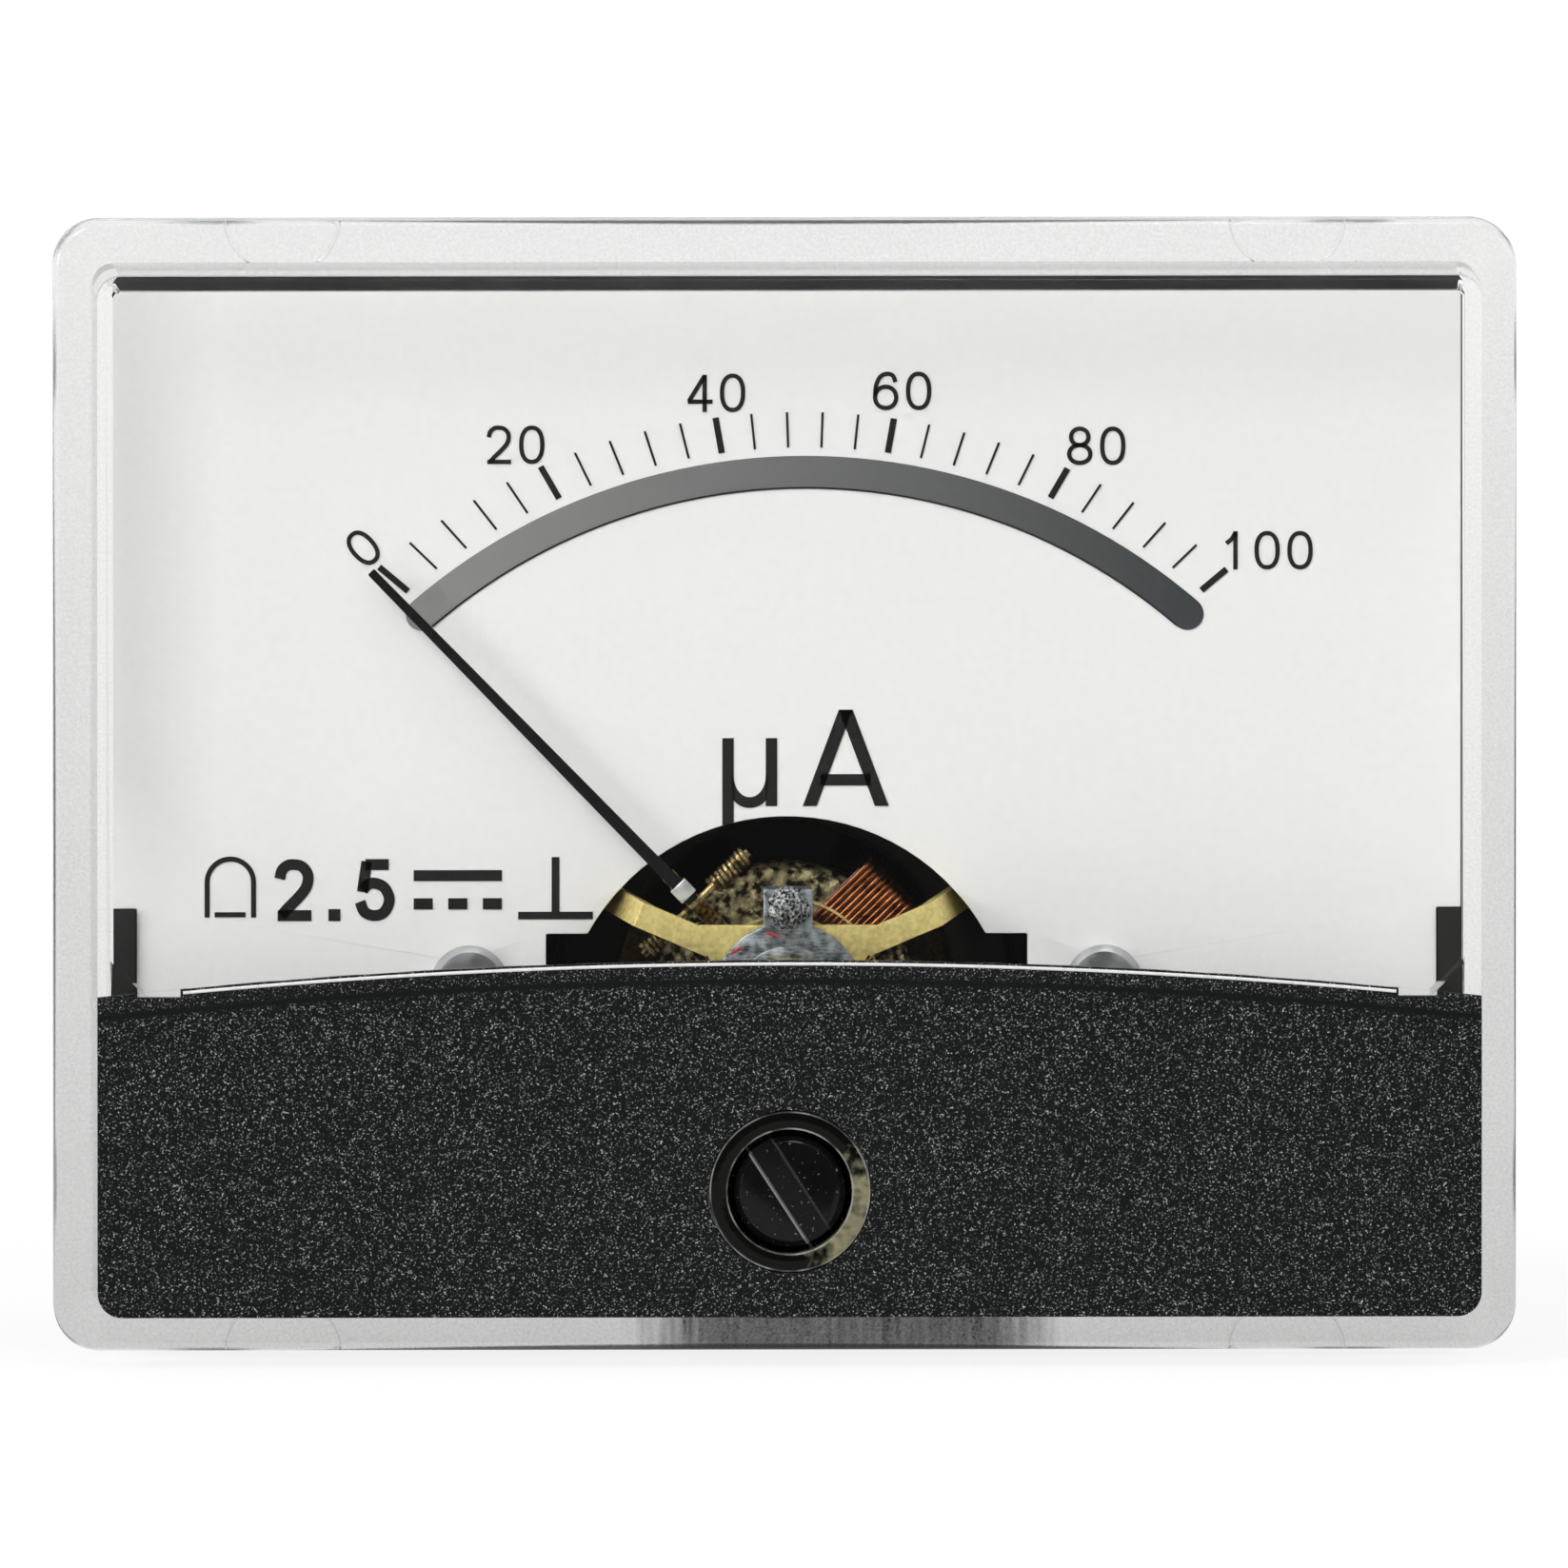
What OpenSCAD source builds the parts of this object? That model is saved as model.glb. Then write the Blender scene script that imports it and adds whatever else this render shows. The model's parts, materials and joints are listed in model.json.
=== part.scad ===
// Moving-coil panel meter with a clear raised front.
// Every piece is drawn as it is seen on the panel, x to the right, y up and z out
// towards the viewer, and is then stood up so that the front faces -Y.
// The panel's front face is z = 0 and the barrel's axis passes through the origin.

/* [Cover] */
// Width of the flange
flange_w = 60; // [58.5:0.1:68]
// Height of the flange
flange_h = 46.4; // [45:0.1:54]
// Corner radius of the flange
flange_r = 1.9; // [1.2:0.1:3]
// Thickness of the flange
flange_t = 2.8; // [2:0.1:3.6]
// Rounding of the flange's front edge
flange_edge = 0.35; // [0.2:0.05:1]
// Width of the raised window at the panel
window_w = 57.1; // [55.5:0.1:58]
// Height of the raised window at the panel
window_h = 43.1; // [42.5:0.1:44.5]
// Corner radius of the raised window
window_r = 1; // [0.5:0.1:1.6]
// Distance from the panel to the window's front face
window_front = 10.6; // [9.8:0.1:13]
// How far each wall leans in over the window's height
wall_lean = 0.25; // [0.1:0.05:0.9]
// Thickness of the window's walls
wall_t = 0.7; // [0.65:0.05:1]
// Thickness of the window's face
face_t = 1.4; // [1:0.1:1.8]
// Length of the corner gussets along the walls
gusset_leg = 1.3; // [0.8:0.1:2]

/* [Mask] */
// Thickness of the black mask
mask_t = 0.9; // [0.7:0.05:1.1]
// How far the mask stands proud of the window's face
mask_rise = 0.5; // [0.2:0.05:0.6]
// Distance from the flange's centre down to the top of the mask's arch
arch_drop = 6.7; // [6:0.1:7.4]
// Fall of the arch from its middle to the window's sides
arch_sag = 1.5; // [0.5:0.1:3]
// Width of the bevel along the arch
bevel_w = 0.85; // [0.4:0.05:1.2]
// Depth of the bevel along the arch
bevel_d = 0.3; // [0.1:0.05:0.4]

/* [Dial] */
// Free room between the dial and the window's face
dial_room = 4.2; // [4.1:0.1:6]
// Thickness of the dial sheet
dial_t = 0.5; // [0.3:0.05:0.8]
// Gap between the dial's edge and the cover
dial_gap = 0.1; // [0.1:0.05:0.3]
// How far the arch cut in the dial lies inside the movement's frame
cutout_in = 1.7; // [1.3:0.05:2.1]
// How far that arch's centre lies below the pivot
cutout_lower = 1.95; // [1.6:0.05:2.2]
// How far the sides of the square part lie inside the movement's frame
cutout_side = 1.15; // [0.7:0.05:1.6]
// Height of that square part above the pivot
cutout_step = 2.55; // [2:0.05:3]
// How far the dial reaches below the pivot
dial_tail = 3.4; // [3:0.1:5]
// Width of the open slots in the dial's side edges
slot_w = 1; // [0.8:0.05:1.3]
// Length of the slots in the dial's side edges
slot_len = 6; // [4:0.1:7]
// Height of the slots' upper end above the pivot
slot_top = 3.6; // [3:0.1:4.5]
// Distance of the dial screws outside the movement's frame
dial_screw_out = 2; // [1.9:0.1:2.4]
// Height of the dial screws above the pivot
dial_screw_y = 0.5; // [0:0.1:1]
// Radius of the dial screws' heads
dial_head_r = 1.6; // [1.3:0.1:1.8]

/* [Base] */
// How far the barrel's axis lies below the flange's centre
barrel_drop = 3.2; // [2.8:0.1:3.4]
// Radius of the barrel behind the panel
barrel_r = 18.8; // [18.6:0.1:20]
// Depth of the barrel behind the panel
barrel_depth = 19; // [18:0.5:30]
// Thickness of the barrel's wall
barrel_wall = 1.6; // [1.2:0.1:1.7]
// Thickness of the barrel's floor
barrel_floor = 2; // [1.5:0.1:2.4]
// Thickness of the base plate
plate_t = 1.2; // [0.8:0.1:1.8]
// Thickness of the rim that carries the dial's edge
rim_t = 1.3; // [1:0.1:1.8]
// Height of the lip that lies under the upper and lower walls
lip_t = 1; // [0.6:0.1:1.2]
// Depth of that lip under the walls
lip_reach = 0.4; // [0.2:0.05:0.5]

/* [Mounting studs] */
// Radius of the mounting studs
stud_r = 1.5; // [1.25:0.25:2]
// Length of the studs behind the panel
stud_len = 11; // [8:0.5:20]
// Distance between the studs, sideways
stud_dx = 47; // [46:0.1:47.6]
// Distance between the studs, upright
stud_dy = 34; // [33:0.1:34.6]

/* [Terminals] */
// Radius of the terminal studs
terminal_r = 2; // [1.5:0.25:2.5]
// Distance between the two terminals
terminal_dx = 20; // [18:0.5:21]
// Length of the terminal studs behind the barrel
terminal_len = 9; // [8:0.5:14]
// Thickness of the terminal washers
terminal_washer_t = 0.8; // [0.5:0.1:1]
// Thickness of the solder lugs
lug_t = 0.5; // [0.3:0.1:0.6]
// Thickness of the lock washers
lock_t = 0.9; // [0.6:0.1:1]
// Thickness of the terminal nuts
terminal_nut_t = 3.2; // [2.2:0.1:3.4]

/* [Movement] */
// How far the pivot lies below the barrel's axis
pivot_drop = 5.27; // [5:0.01:5.6]
// Direction of the pointer, counted from the right
pointer_angle = 134.3; // [132:0.1:136]
// Thickness of the yoke ring's wall
yoke_wall = 2.6; // [2.4:0.05:2.9]
// Length of the core magnet
core_len = 9.2; // [8:0.1:10]
// Radial gap between the core and the coil
core_gap = 0.3; // [0.2:0.05:0.4]
// Gap between the core's ends and the coil
end_gap = 0.4; // [0.3:0.05:0.6]
// Thickness of the coil's former
former_t = 0.2; // [0.15:0.05:0.3]
// Thickness of the coil's winding
winding_t = 0.65; // [0.5:0.05:0.8]
// Width of the coil
coil_w = 3.1; // [2.6:0.1:3.3]
// Gap between the coil and the yoke
yoke_gap = 0.27; // [0.2:0.01:0.4]
// Gap between the movement's frame and the barrel's wall
frame_gap = 0.93; // [0.6:0.01:1.2]
// Half angle of the spacers that hold the core
spacer_half = 21; // [14:0.5:22]
// Wall of the frame round the yoke
frame_wall = 1.45; // [1.2:0.05:1.55]
// How far the frame's front lies behind the dial's face
frame_drop = 2.8; // [2.7:0.1:3.2]
// Radius of the jewel screws
jewel_screw_r = 1.1; // [1:0.05:1.3]
// Thickness of the bridges
bridge_t = 0.7; // [0.5:0.05:0.9]
// Slope of the front bridge's arms, seen from the front
bridge_angle = 23; // [20:0.5:25]
// Width of the front bridge's arms
bridge_w = 1.05; // [0.9:0.05:1.3]

/* [Pointer] */
// Radius of the pointer's tip
pointer_tip = 24.4; // [20:0.1:25]
// Height of the pointer above the dial
pointer_lift = 0.85; // [0.8:0.05:1]
// Thickness of the pointer
pointer_t = 0.3; // [0.2:0.05:0.4]
// Width of the pointer at its foot
pointer_w = 0.55; // [0.45:0.05:0.6]
// Width of the pointer at its tip
tip_w = 0.36; // [0.2:0.02:0.45]
// Turns of each hairspring
spring_turns = 4; // [3:1:5]
// Width of the hairspring strip
spring_w = 0.4; // [0.3:0.05:0.5]
// Thickness of the hairspring strip
spring_t = 0.1; // [0.08:0.01:0.14]

/* [Zero adjustment] */
// Distance from the pivot down to the zero screw
zero_arm = 7.69; // [7.6:0.01:8.2]
// Radius of the zero screw's head
zero_head_r = 2.275; // [2:0.025:2.4]
// Radius of the hole for that head
zero_hole_r = 2.55; // [2.5:0.025:2.7]
// Radius of the clear ring round the hole
zero_ring_r = 3.3; // [3:0.05:3.6]
// Width of the slot in the zero screw
zero_slot_w = 1.05; // [0.8:0.05:1.2]
// Direction of the slot, counted from the right
zero_slot_angle = -57; // [-90:1:90]
// Eccentricity of the pin on the zero screw
zero_throw = 0.9; // [0.7:0.05:1]
// Radius of that pin
zero_pin_r = 0.6; // [0.5:0.05:0.65]
// Room for the pin on each side in the lever's fork
fork_play = 0.13; // [0.12:0.01:0.2]
// Radius of the zero lever's disc
lever_r = 3.15; // [2.8:0.05:3.2]

/* [Fits] */
// Gap round pieces that are seated in each other
seat_gap = 0.05; // [0.02:0.01:0.1]
// Gap round pieces that turn in each other
run_gap = 0.06; // [0.03:0.01:0.1]

/* [Hidden] */
$fn = 64;
skin = 0.02;
past = 1;

// Heights of the case
face_y = barrel_drop;
pivot_y = -pivot_drop;
face_back = window_front - face_t;
mask_front = window_front + mask_rise;
mask_seat = mask_front - mask_t;
dial_z = face_back - dial_room;
dial_back = dial_z - dial_t;
floor_z = barrel_floor - barrel_depth;
front_w = window_w - 2 * wall_lean;
front_h = window_h - 2 * wall_lean;
lean_rate = wall_lean / window_front;
cavity_r = max(window_r - wall_t, 0.3);

// Outline of the arch that bounds the mask
arch_half = front_w / 2;
arch_r = (arch_half * arch_half + arch_sag * arch_sag) / (2 * arch_sag);
arch_top_y = face_y - arch_drop;
arch_fn = 720;
arch_end_y = arch_top_y - arch_sag;
end_notch_w = 1.9;
end_notch_d = 0.3;
end_notch_in = 1.5;

// Room inside the cover at a given height
function cavity_w(z) = window_w - 2 * wall_t - 2 * lean_rate * z;
function cavity_h(z) = window_h - 2 * wall_t - 2 * lean_rate * z;

base_w = cavity_w(dial_back) - 2 * seat_gap;
base_h = cavity_h(dial_back) - 2 * seat_gap;
lip_h = window_h - 2 * wall_t + 2 * lip_reach;
dial_w = cavity_w(dial_z) - 2 * dial_gap;
dial_top_y = face_y + cavity_h(dial_z) / 2 - dial_gap;
dial_bottom_y = pivot_y - dial_tail;
slot_y = pivot_y + slot_top - slot_len / 2;
post_w = slot_w - seat_gap;
post_x = (dial_w - post_w) / 2;
post_rise = 0.3;

// Screws: shank radius, head radius and head height of each kind
small_shank_r = 0.95;
dial_shank_len = 3.5;
dial_head_t = 0.8;
bridge_head_r = 1.5;
bridge_head_t = 0.9;
bridge_shank_len = 3.6;
frame_shank_r = 1.2;
frame_head_r = 2.1;
frame_head_t = 1.2;
frame_shank_len = 6;
slot_cut_w = 0.5;
slot_cut_d = 0.45;

// Mounting studs in their pockets
stud_root_rim = 0.4;
stud_root_r = stud_r + stud_root_rim;
stud_head_rim = 0.95;
stud_head_r = stud_r + stud_head_rim;
stud_head_t = 1.4;
stud_boss_wall = 0.7;
stud_boss_rise = 2;
stud_boss_top = plate_t + stud_boss_rise;

// Terminal hardware, counted outwards from the barrel's floor
terminal_head_rim = 1.5;
terminal_head_r = terminal_r + terminal_head_rim;
terminal_head_t = 1.5;
terminal_washer_rim = 2.3;
terminal_washer_r = terminal_r + terminal_washer_rim;
lug_rim = 2;
lug_r = terminal_r + lug_rim;
lug_tail_len = 9;
lug_tail_w = 2.6;
lug_eye_r = 0.7;
lock_rim = 1.6;
lock_r = terminal_r + lock_rim;
lock_split = 0.6;
terminal_nut_rim = 2.1;
terminal_nut_r = terminal_r + terminal_nut_rim;
washer_back = -barrel_depth - terminal_washer_t;
lug_back = washer_back - lug_t;
lock_back = lug_back - lock_t;
nut_back = lock_back - terminal_nut_t;
terminal_end = -barrel_depth - terminal_len;

// Magnetic circuit, sized from the barrel's bore inwards, and the cut in the dial over it
frame_r = barrel_r - barrel_wall - pivot_drop - frame_gap;
yoke_r = frame_r - frame_wall - seat_gap;
yoke_bore = yoke_r - yoke_wall;
coil_reach = yoke_bore - yoke_gap;
coil_half = sqrt(coil_reach * coil_reach - coil_w * coil_w / 4);
former_half = coil_half - winding_t;
core_r = former_half - former_t - core_gap;
cutout_r = frame_r - cutout_in;
cutout_half = frame_r - cutout_side;
dial_screw_x = frame_r + dial_screw_out;

// Heights of the movement, from the frame's front to the zero lever
frame_z = dial_z - frame_drop;
core_back = frame_z - core_len;
coil_front = frame_z + end_gap + former_t + winding_t;
coil_back = core_back - end_gap - former_t - winding_t;
staff_base_r = 1.3;
staff_base_t = 0.4;
staff_r = 0.45;
tip_r = 0.2;
hub_z = coil_front + staff_base_t;
hub_t = 0.6;
hub_r = 1.4;
spring_lift = 0.3;
collet_z = hub_z + hub_t + spring_lift;
collet_t = spring_w + 0.2;
collet_r = 0.9;
jewel_room = 0.95;
bridge_z = collet_z + collet_t + jewel_room;
washer_t = 0.2;
washer_r = 2.2;
lever_z = bridge_z + bridge_t + washer_t;
lever_t = 0.4;
nut_z = lever_z + lever_t + washer_t;
nut_t = 0.7;
nut_r = 1.9;
screw_end_z = nut_z + nut_t + 0.3;
screw_start_z = bridge_z - 0.55;
jewel_r = 0.7;
jewel_t = 0.5;
tip_end_z = screw_start_z + 0.35;

// The rear end of the rotor mirrors the front end about the coil's middle
mirror_z = coil_front + coil_back;
rear_bridge_front = mirror_z - bridge_z;
rear_bridge_back = rear_bridge_front - bridge_t;

// Spacers and frame
spacer_inset = 2.2;
spacer_lift = 0.5;
spacer_front = frame_z - spacer_inset;
spacer_back = core_back + spacer_lift;
shelf_t = 1;
frame_back = core_back - shelf_t;
edge_break = 0.25;
pillar_r = 1.9;
pillar_depth = 6;
web_w = 2.6;
rear_pillar_in = 0.8;
rear_pillar_x = frame_r - rear_pillar_in;
rear_pillar_r = 1.8;
ear_out = 2.5;
ear_angle = 62;
ear_x = (frame_r + ear_out) * cos(ear_angle);
ear_y = (frame_r + ear_out) * sin(ear_angle);
ear_r = 2.6;
ear_t = 3;
ear_drop = 5.2;
ear_front = frame_z - ear_drop;
ear_back = ear_front - ear_t;
ear_web_end = frame_r + ear_out - (frame_shank_r + ear_r) / 2;
web_step = 0.3;
boss_r = 2.6;

// Front bridge, seen from the front: a flat middle with two arms that dive to their feet
bridge_top = 3;
knee_x = 3.6;
knee_y = bridge_top - 0.6;
flank_x = knee_x - 0.3;
flank_y = knee_y - 0.6;
waist_x = washer_r - 0.6;
waist_y = washer_r / 2;
arm_root = 0.5;
foot_r = pillar_r - 0.2;
rear_disc_r = washer_r + 0.6;
bridge_gap = 0.35;
arm_run = 1.35;
arm_knee = [knee_x, knee_y + cutout_lower];
arm_side = arm_knee * [cos(bridge_angle), sin(bridge_angle)];
arm_pass = sqrt(arm_side * arm_side + (cutout_r - bridge_gap) * (cutout_r - bridge_gap)
    - arm_knee * arm_knee) - arm_side;
arm_flat = arm_pass - arm_run * (bridge_z + bridge_t - dial_back) / (bridge_z - frame_z);
foot_in = 0.7;
foot_at = (frame_r - knee_x - foot_in) / cos(bridge_angle);
foot_x = knee_x + foot_at * cos(bridge_angle);
foot_y = knee_y + foot_at * sin(bridge_angle);

// Pointer, its arm and its balance weights
pointer_z = dial_z + pointer_lift;
arm_w = 0.6;
arm_t = 0.4;
arm_low = hub_z + (hub_t - arm_t) / 2;
arm_high = pointer_z - arm_t;
cross_share = 0.575;
cross_at = cross_share * cutout_r;
crank_run = 0.9;
crank_past = 0.15;
crank_end = cross_at + crank_past;
crank_start = crank_end - crank_run;
arm_flat_len = 1.5;
arm_end = crank_end + arm_flat_len;
clip_set_in = 0.25;
clip_from = crank_end + clip_set_in;
clip_len = 0.7;
clip_t = 0.1;
cross_half = 3;
cross_r = 0.18;
weight_r = 0.42;
weight_len = 1.8;
weight_gap = 1;
tail_len = 4.6;
tail_r = 0.2;
tail_weight_r = 0.5;
tail_weight_len = 1.6;
tail_weight_in = 0.2;
tail_weight_end = tail_len - tail_weight_in;

// Zero lever, its tab and fork, and the screw that turns it
tab_half = 1;
tab_top = 4.5;
spring_end_r = tab_top - lever_t - spring_t / 2 - skin;
solder_y = 3.75;
solder_r = 0.95;
solder_h = 0.5;
fork_half = zero_pin_r + fork_play + 0.85;
fork_from = zero_arm - zero_throw - zero_pin_r - 0.5;
fork_end = zero_arm + 0.9;
zero_flange_r = zero_hole_r + 0.5;
zero_flange_t = 0.7;
zero_flange_front = face_back - seat_gap;
zero_flange_back = zero_flange_front - zero_flange_t;
zero_front = mask_front - 0.15;
zero_ring_front = mask_front - 0.1;
zero_slot_d = 0.9;

// Lead wires from the terminals to the bridges, with their bends placed by hand
lead_r = 0.4;
lead_sides = 8;
lead_x = terminal_dx / 2;
lead_z = floor_z + terminal_head_t;
lead_up_x = foot_x + 3.4;
rear_lead_in = 4.2;
rear_lead_x = rear_pillar_x - rear_lead_in;
rear_lead_z = rear_bridge_back - lead_r;
left_lead = [
    [-lead_x, 0, lead_z], [-lead_x, 0, lead_z + 1.2], [1 - lead_x, -1, rear_lead_z - 1],
    [-rear_lead_x - 1.6, pivot_y + 3, rear_lead_z - 0.4],
    [-rear_lead_x - 0.6, pivot_y + 1.4, rear_lead_z - 0.2], [-rear_lead_x, pivot_y, rear_lead_z]
];
right_lead = [
    [lead_x, 0, lead_z], [lead_x, 0, lead_z + 1.2], [lead_up_x - 1.5, 1.8, rear_lead_z],
    [lead_up_x - 0.1, 2.8, core_back - 2], [lead_up_x, 3, core_back + 3],
    [lead_up_x - 0.2, 2.4, frame_z - 1.6], [foot_x + 2.6, 1.2, frame_z + 0.6],
    [foot_x + 1.9, pivot_y + foot_y + 0.45, frame_z + bridge_t + lead_r]
];

// Drawn as on the panel, then stood up
module face() {
    rotate([90, 0, 0])
        children();
}

// The same, counted from the pivot
module at_pivot() {
    face()
        translate([0, pivot_y, 0])
            children();
}

// The same, with x along the pointer
module on_pointer() {
    at_pivot()
        rotate(pointer_angle)
            children();
}

// A copy on each side of the middle
module both_sides() {
    children();
    mirror([1, 0, 0])
        children();
}

// Copies at the two positions sideways, without mirroring
module left_and_right(x, y) {
    for (side = [-1, 1])
        translate([side * x, y, 0])
            children();
}

// A cylinder between two heights
module rod(r, z0, z1) {
    translate([0, 0, z0])
        cylinder(r = r, h = z1 - z0);
}

// A flat ring between two heights
module ring(r, hole, z0, z1) {
    difference() {
        rod(r, z0, z1);
        rod(hole, z0 - past, z1 + past);
    }
}

// A round body between two heights with both outer edges broken
module turned(r, z0, z1, edge) {
    rotate_extrude()
        polygon([
            [0, z0], [r - edge, z0], [r, z0 + edge],
            [r, z1 - edge], [r - edge, z1], [0, z1]
        ]);
}

// A rectangle with round corners
module rounded(w, h, r) {
    square([w - 2 * r, h], center = true);
    square([w, h - 2 * r], center = true);
    for (sx = [-1, 1], sy = [-1, 1])
        translate([sx * (w / 2 - r), sy * (h / 2 - r)])
            circle(r = r);
}

// A plate about the flange's centre between two heights
module slab(w, h, r, z0, z1) {
    translate([0, face_y, z0])
        linear_extrude(z1 - z0)
            rounded(w, h, r);
}

// A block whose walls lean in evenly from its foot to its top
module leaning_block(w, h, r, z0, z1) {
    lean = lean_rate * z1;
    hull() {
        slab(w, h, r, z0, skin, $fn = 32);
        slab(w - 2 * lean, h - 2 * lean, r, z1 - skin, z1, $fn = 32);
    }
}

// A screw with a slotted pan head that points forward
module slotted_screw(shank_r, shank_len, head_r, head_t) {
    rod(shank_r, -shank_len, skin);
    difference() {
        turned(head_r, 0, head_t, edge_break);
        translate([0, 0, head_t])
            cube([3 * head_r, slot_cut_w, 2 * slot_cut_d], center = true);
    }
}

// A hexagon nut with its thread bored
module hex_nut(r, hole, z0, z1) {
    difference() {
        translate([0, 0, z0])
            cylinder(r = r, h = z1 - z0, $fn = 6);
        rod(hole, z0 - past, z1 + past);
    }
}

// Everything below the mask's arch, as far as the window reaches
module arch_outline() {
    intersection() {
        translate([0, arch_top_y - arch_r])
            circle(r = arch_r, $fn = arch_fn);
        translate([0, arch_top_y - window_h])
            square([2 * window_w, 2 * window_h], center = true);
    }
}

// Flange with a rounded front edge
module flange() {
    slab(flange_w, flange_h, flange_r, 0, flange_t - flange_edge + skin);
    hull() {
        for (step = [0:4]) {
            inset = flange_edge * (1 - cos(22.5 * step));
            rise = flange_edge * sin(22.5 * step);
            slab(flange_w - 2 * inset, flange_h - 2 * inset, flange_r - inset,
                flange_t - flange_edge + rise - skin, flange_t - flange_edge + rise, $fn = 48);
        }
    }
}

module front_cover() {
    color([0.9, 0.92, 0.92, 0.35])
        face() {
            difference() {
                union() {
                    flange();
                    difference() {
                        leaning_block(window_w, window_h, window_r, 0, window_front);
                        translate([0, 0, mask_seat])
                            linear_extrude(2 * mask_t)
                                arch_outline();
                    }
                    translate([0, pivot_y - zero_arm, 0])
                        rod(zero_ring_r, face_back, zero_ring_front);
                }
                leaning_block(window_w - 2 * wall_t, window_h - 2 * wall_t, cavity_r,
                    -past, face_back);
                slab(base_w + 2 * seat_gap, lip_h + 2 * seat_gap, cavity_r, -past, lip_t + seat_gap);
                translate([0, pivot_y - zero_arm, 0])
                    rod(zero_hole_r, face_back - past, mask_front + past);
            }
            both_sides()
                corner_gusset();
        }
}

// Clear triangle between the side wall and the mask's seat
module corner_gusset() {
    corner_x = cavity_w(face_back) / 2;
    translate([corner_x, arch_end_y, dial_z + post_rise + seat_gap])
        linear_extrude(face_back - dial_z - post_rise - seat_gap + skin)
            polygon([
                [wall_t / 2, gusset_leg], [wall_t / 2, -gusset_leg / 2], [-gusset_leg, -gusset_leg / 2],
                [-gusset_leg, 0], [0, gusset_leg]
            ]);
}

module lower_mask() {
    notch_x = arch_half - end_notch_in - end_notch_w / 2;
    color([0.1, 0.11, 0.11])
        face()
            difference() {
                translate([0, 0, mask_seat])
                    linear_extrude(mask_t)
                        difference() {
                            intersection() {
                                translate([0, face_y])
                                    rounded(front_w, front_h, window_r);
                                arch_outline();
                            }
                            left_and_right(notch_x, arch_end_y + end_notch_d)
                                square([end_notch_w, 2 * end_notch_d], center = true);
                        }
                translate([0, arch_top_y - arch_r, 0])
                    rotate_extrude($fn = arch_fn)
                        polygon([
                            [arch_r - bevel_w, mask_front + skin],
                            [arch_r + bevel_w, mask_front + skin],
                            [arch_r + bevel_w, mask_front - 2 * bevel_d],
                            [arch_r - bevel_w, mask_front]
                        ]);
                translate([0, pivot_y - zero_arm, 0])
                    rod(zero_ring_r + seat_gap, mask_seat - past, mask_front + past);
            }
}

module dial_plate() {
    color([0.93, 0.93, 0.92])
        face()
            translate([0, 0, dial_back])
                linear_extrude(dial_t)
                    difference() {
                        translate([-dial_w / 2, dial_bottom_y])
                            square([dial_w, dial_top_y - dial_bottom_y]);
                        translate([0, pivot_y - cutout_lower])
                            circle(r = cutout_r);
                        translate([-cutout_half, dial_bottom_y - past])
                            square([2 * cutout_half, pivot_y + cutout_step - dial_bottom_y + past]);
                        left_and_right(dial_w / 2, slot_y)
                            square([2 * slot_w, slot_len], center = true);
                        left_and_right(dial_screw_x, pivot_y + dial_screw_y)
                            circle(r = small_shank_r + seat_gap);
                    }
}

module dial_screws() {
    color([0.62, 0.65, 0.64])
        at_pivot()
            left_and_right(dial_screw_x, dial_screw_y)
                translate([0, 0, dial_z])
                    slotted_screw(small_shank_r, dial_shank_len, dial_head_r, dial_head_t);
}

module base() {
    color([0.09, 0.09, 0.09])
        face() {
            difference() {
                union() {
                    slab(base_w, base_h, cavity_r, 0, plate_t);
                    slab(base_w, lip_h, cavity_r, 0, lip_t);
                    barrel();
                    mounting_positions()
                        rod(stud_head_r + stud_boss_wall, 0, stud_boss_top);
                }
                rod(barrel_r - barrel_wall, floor_z, plate_t + past);
                mounting_positions() {
                    rod(stud_root_r + seat_gap, -past, plate_t + past);
                    rod(stud_head_r + seat_gap, plate_t - seat_gap, stud_boss_top + past);
                }
                left_and_right(terminal_dx / 2, 0)
                    rod(terminal_r + seat_gap, -barrel_depth - past, floor_z + past);
            }
            dial_rim();
            left_and_right(ear_x, pivot_y + ear_y)
                difference() {
                    rod(boss_r, floor_z - skin, ear_back);
                    rod(frame_shank_r + seat_gap, ear_front - frame_shank_len, ear_back + past);
                }
        }
}

// Solid barrel behind the panel, with its rear edge broken
module barrel() {
    rotate_extrude()
        polygon([
            [0, -barrel_depth], [barrel_r - edge_break, -barrel_depth],
            [barrel_r, edge_break - barrel_depth], [barrel_r, 0], [0, 0]
        ]);
}

module mounting_positions() {
    for (sx = [-1, 1], sy = [-1, 1])
        translate([sx * stud_dx / 2, face_y + sy * stud_dy / 2, 0])
            children();
}

// Rim that carries the dial's edge, with a post for each slot in the dial
module dial_rim() {
    difference() {
        slab(base_w, base_h, cavity_r, plate_t - skin, dial_back);
        slab(base_w - 2 * rim_t, base_h - 2 * rim_t, cavity_r, 0, dial_z);
        rod(barrel_r - barrel_wall, 0, dial_z);
        mounting_positions()
            rod(stud_head_r + seat_gap, plate_t - seat_gap, stud_boss_top + past);
    }
    left_and_right(post_x, slot_y)
        translate([0, 0, dial_back])
            linear_extrude(dial_t + post_rise)
                square([post_w, slot_len - 2 * seat_gap], center = true);
}

module mounting_studs() {
    color([0.75, 0.76, 0.78])
        face()
            mounting_positions() {
                turned(stud_r, -stud_len, skin, edge_break);
                rod(stud_root_r, 0, plate_t + skin);
                rod(stud_head_r, plate_t, plate_t + stud_head_t);
            }
}

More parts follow.
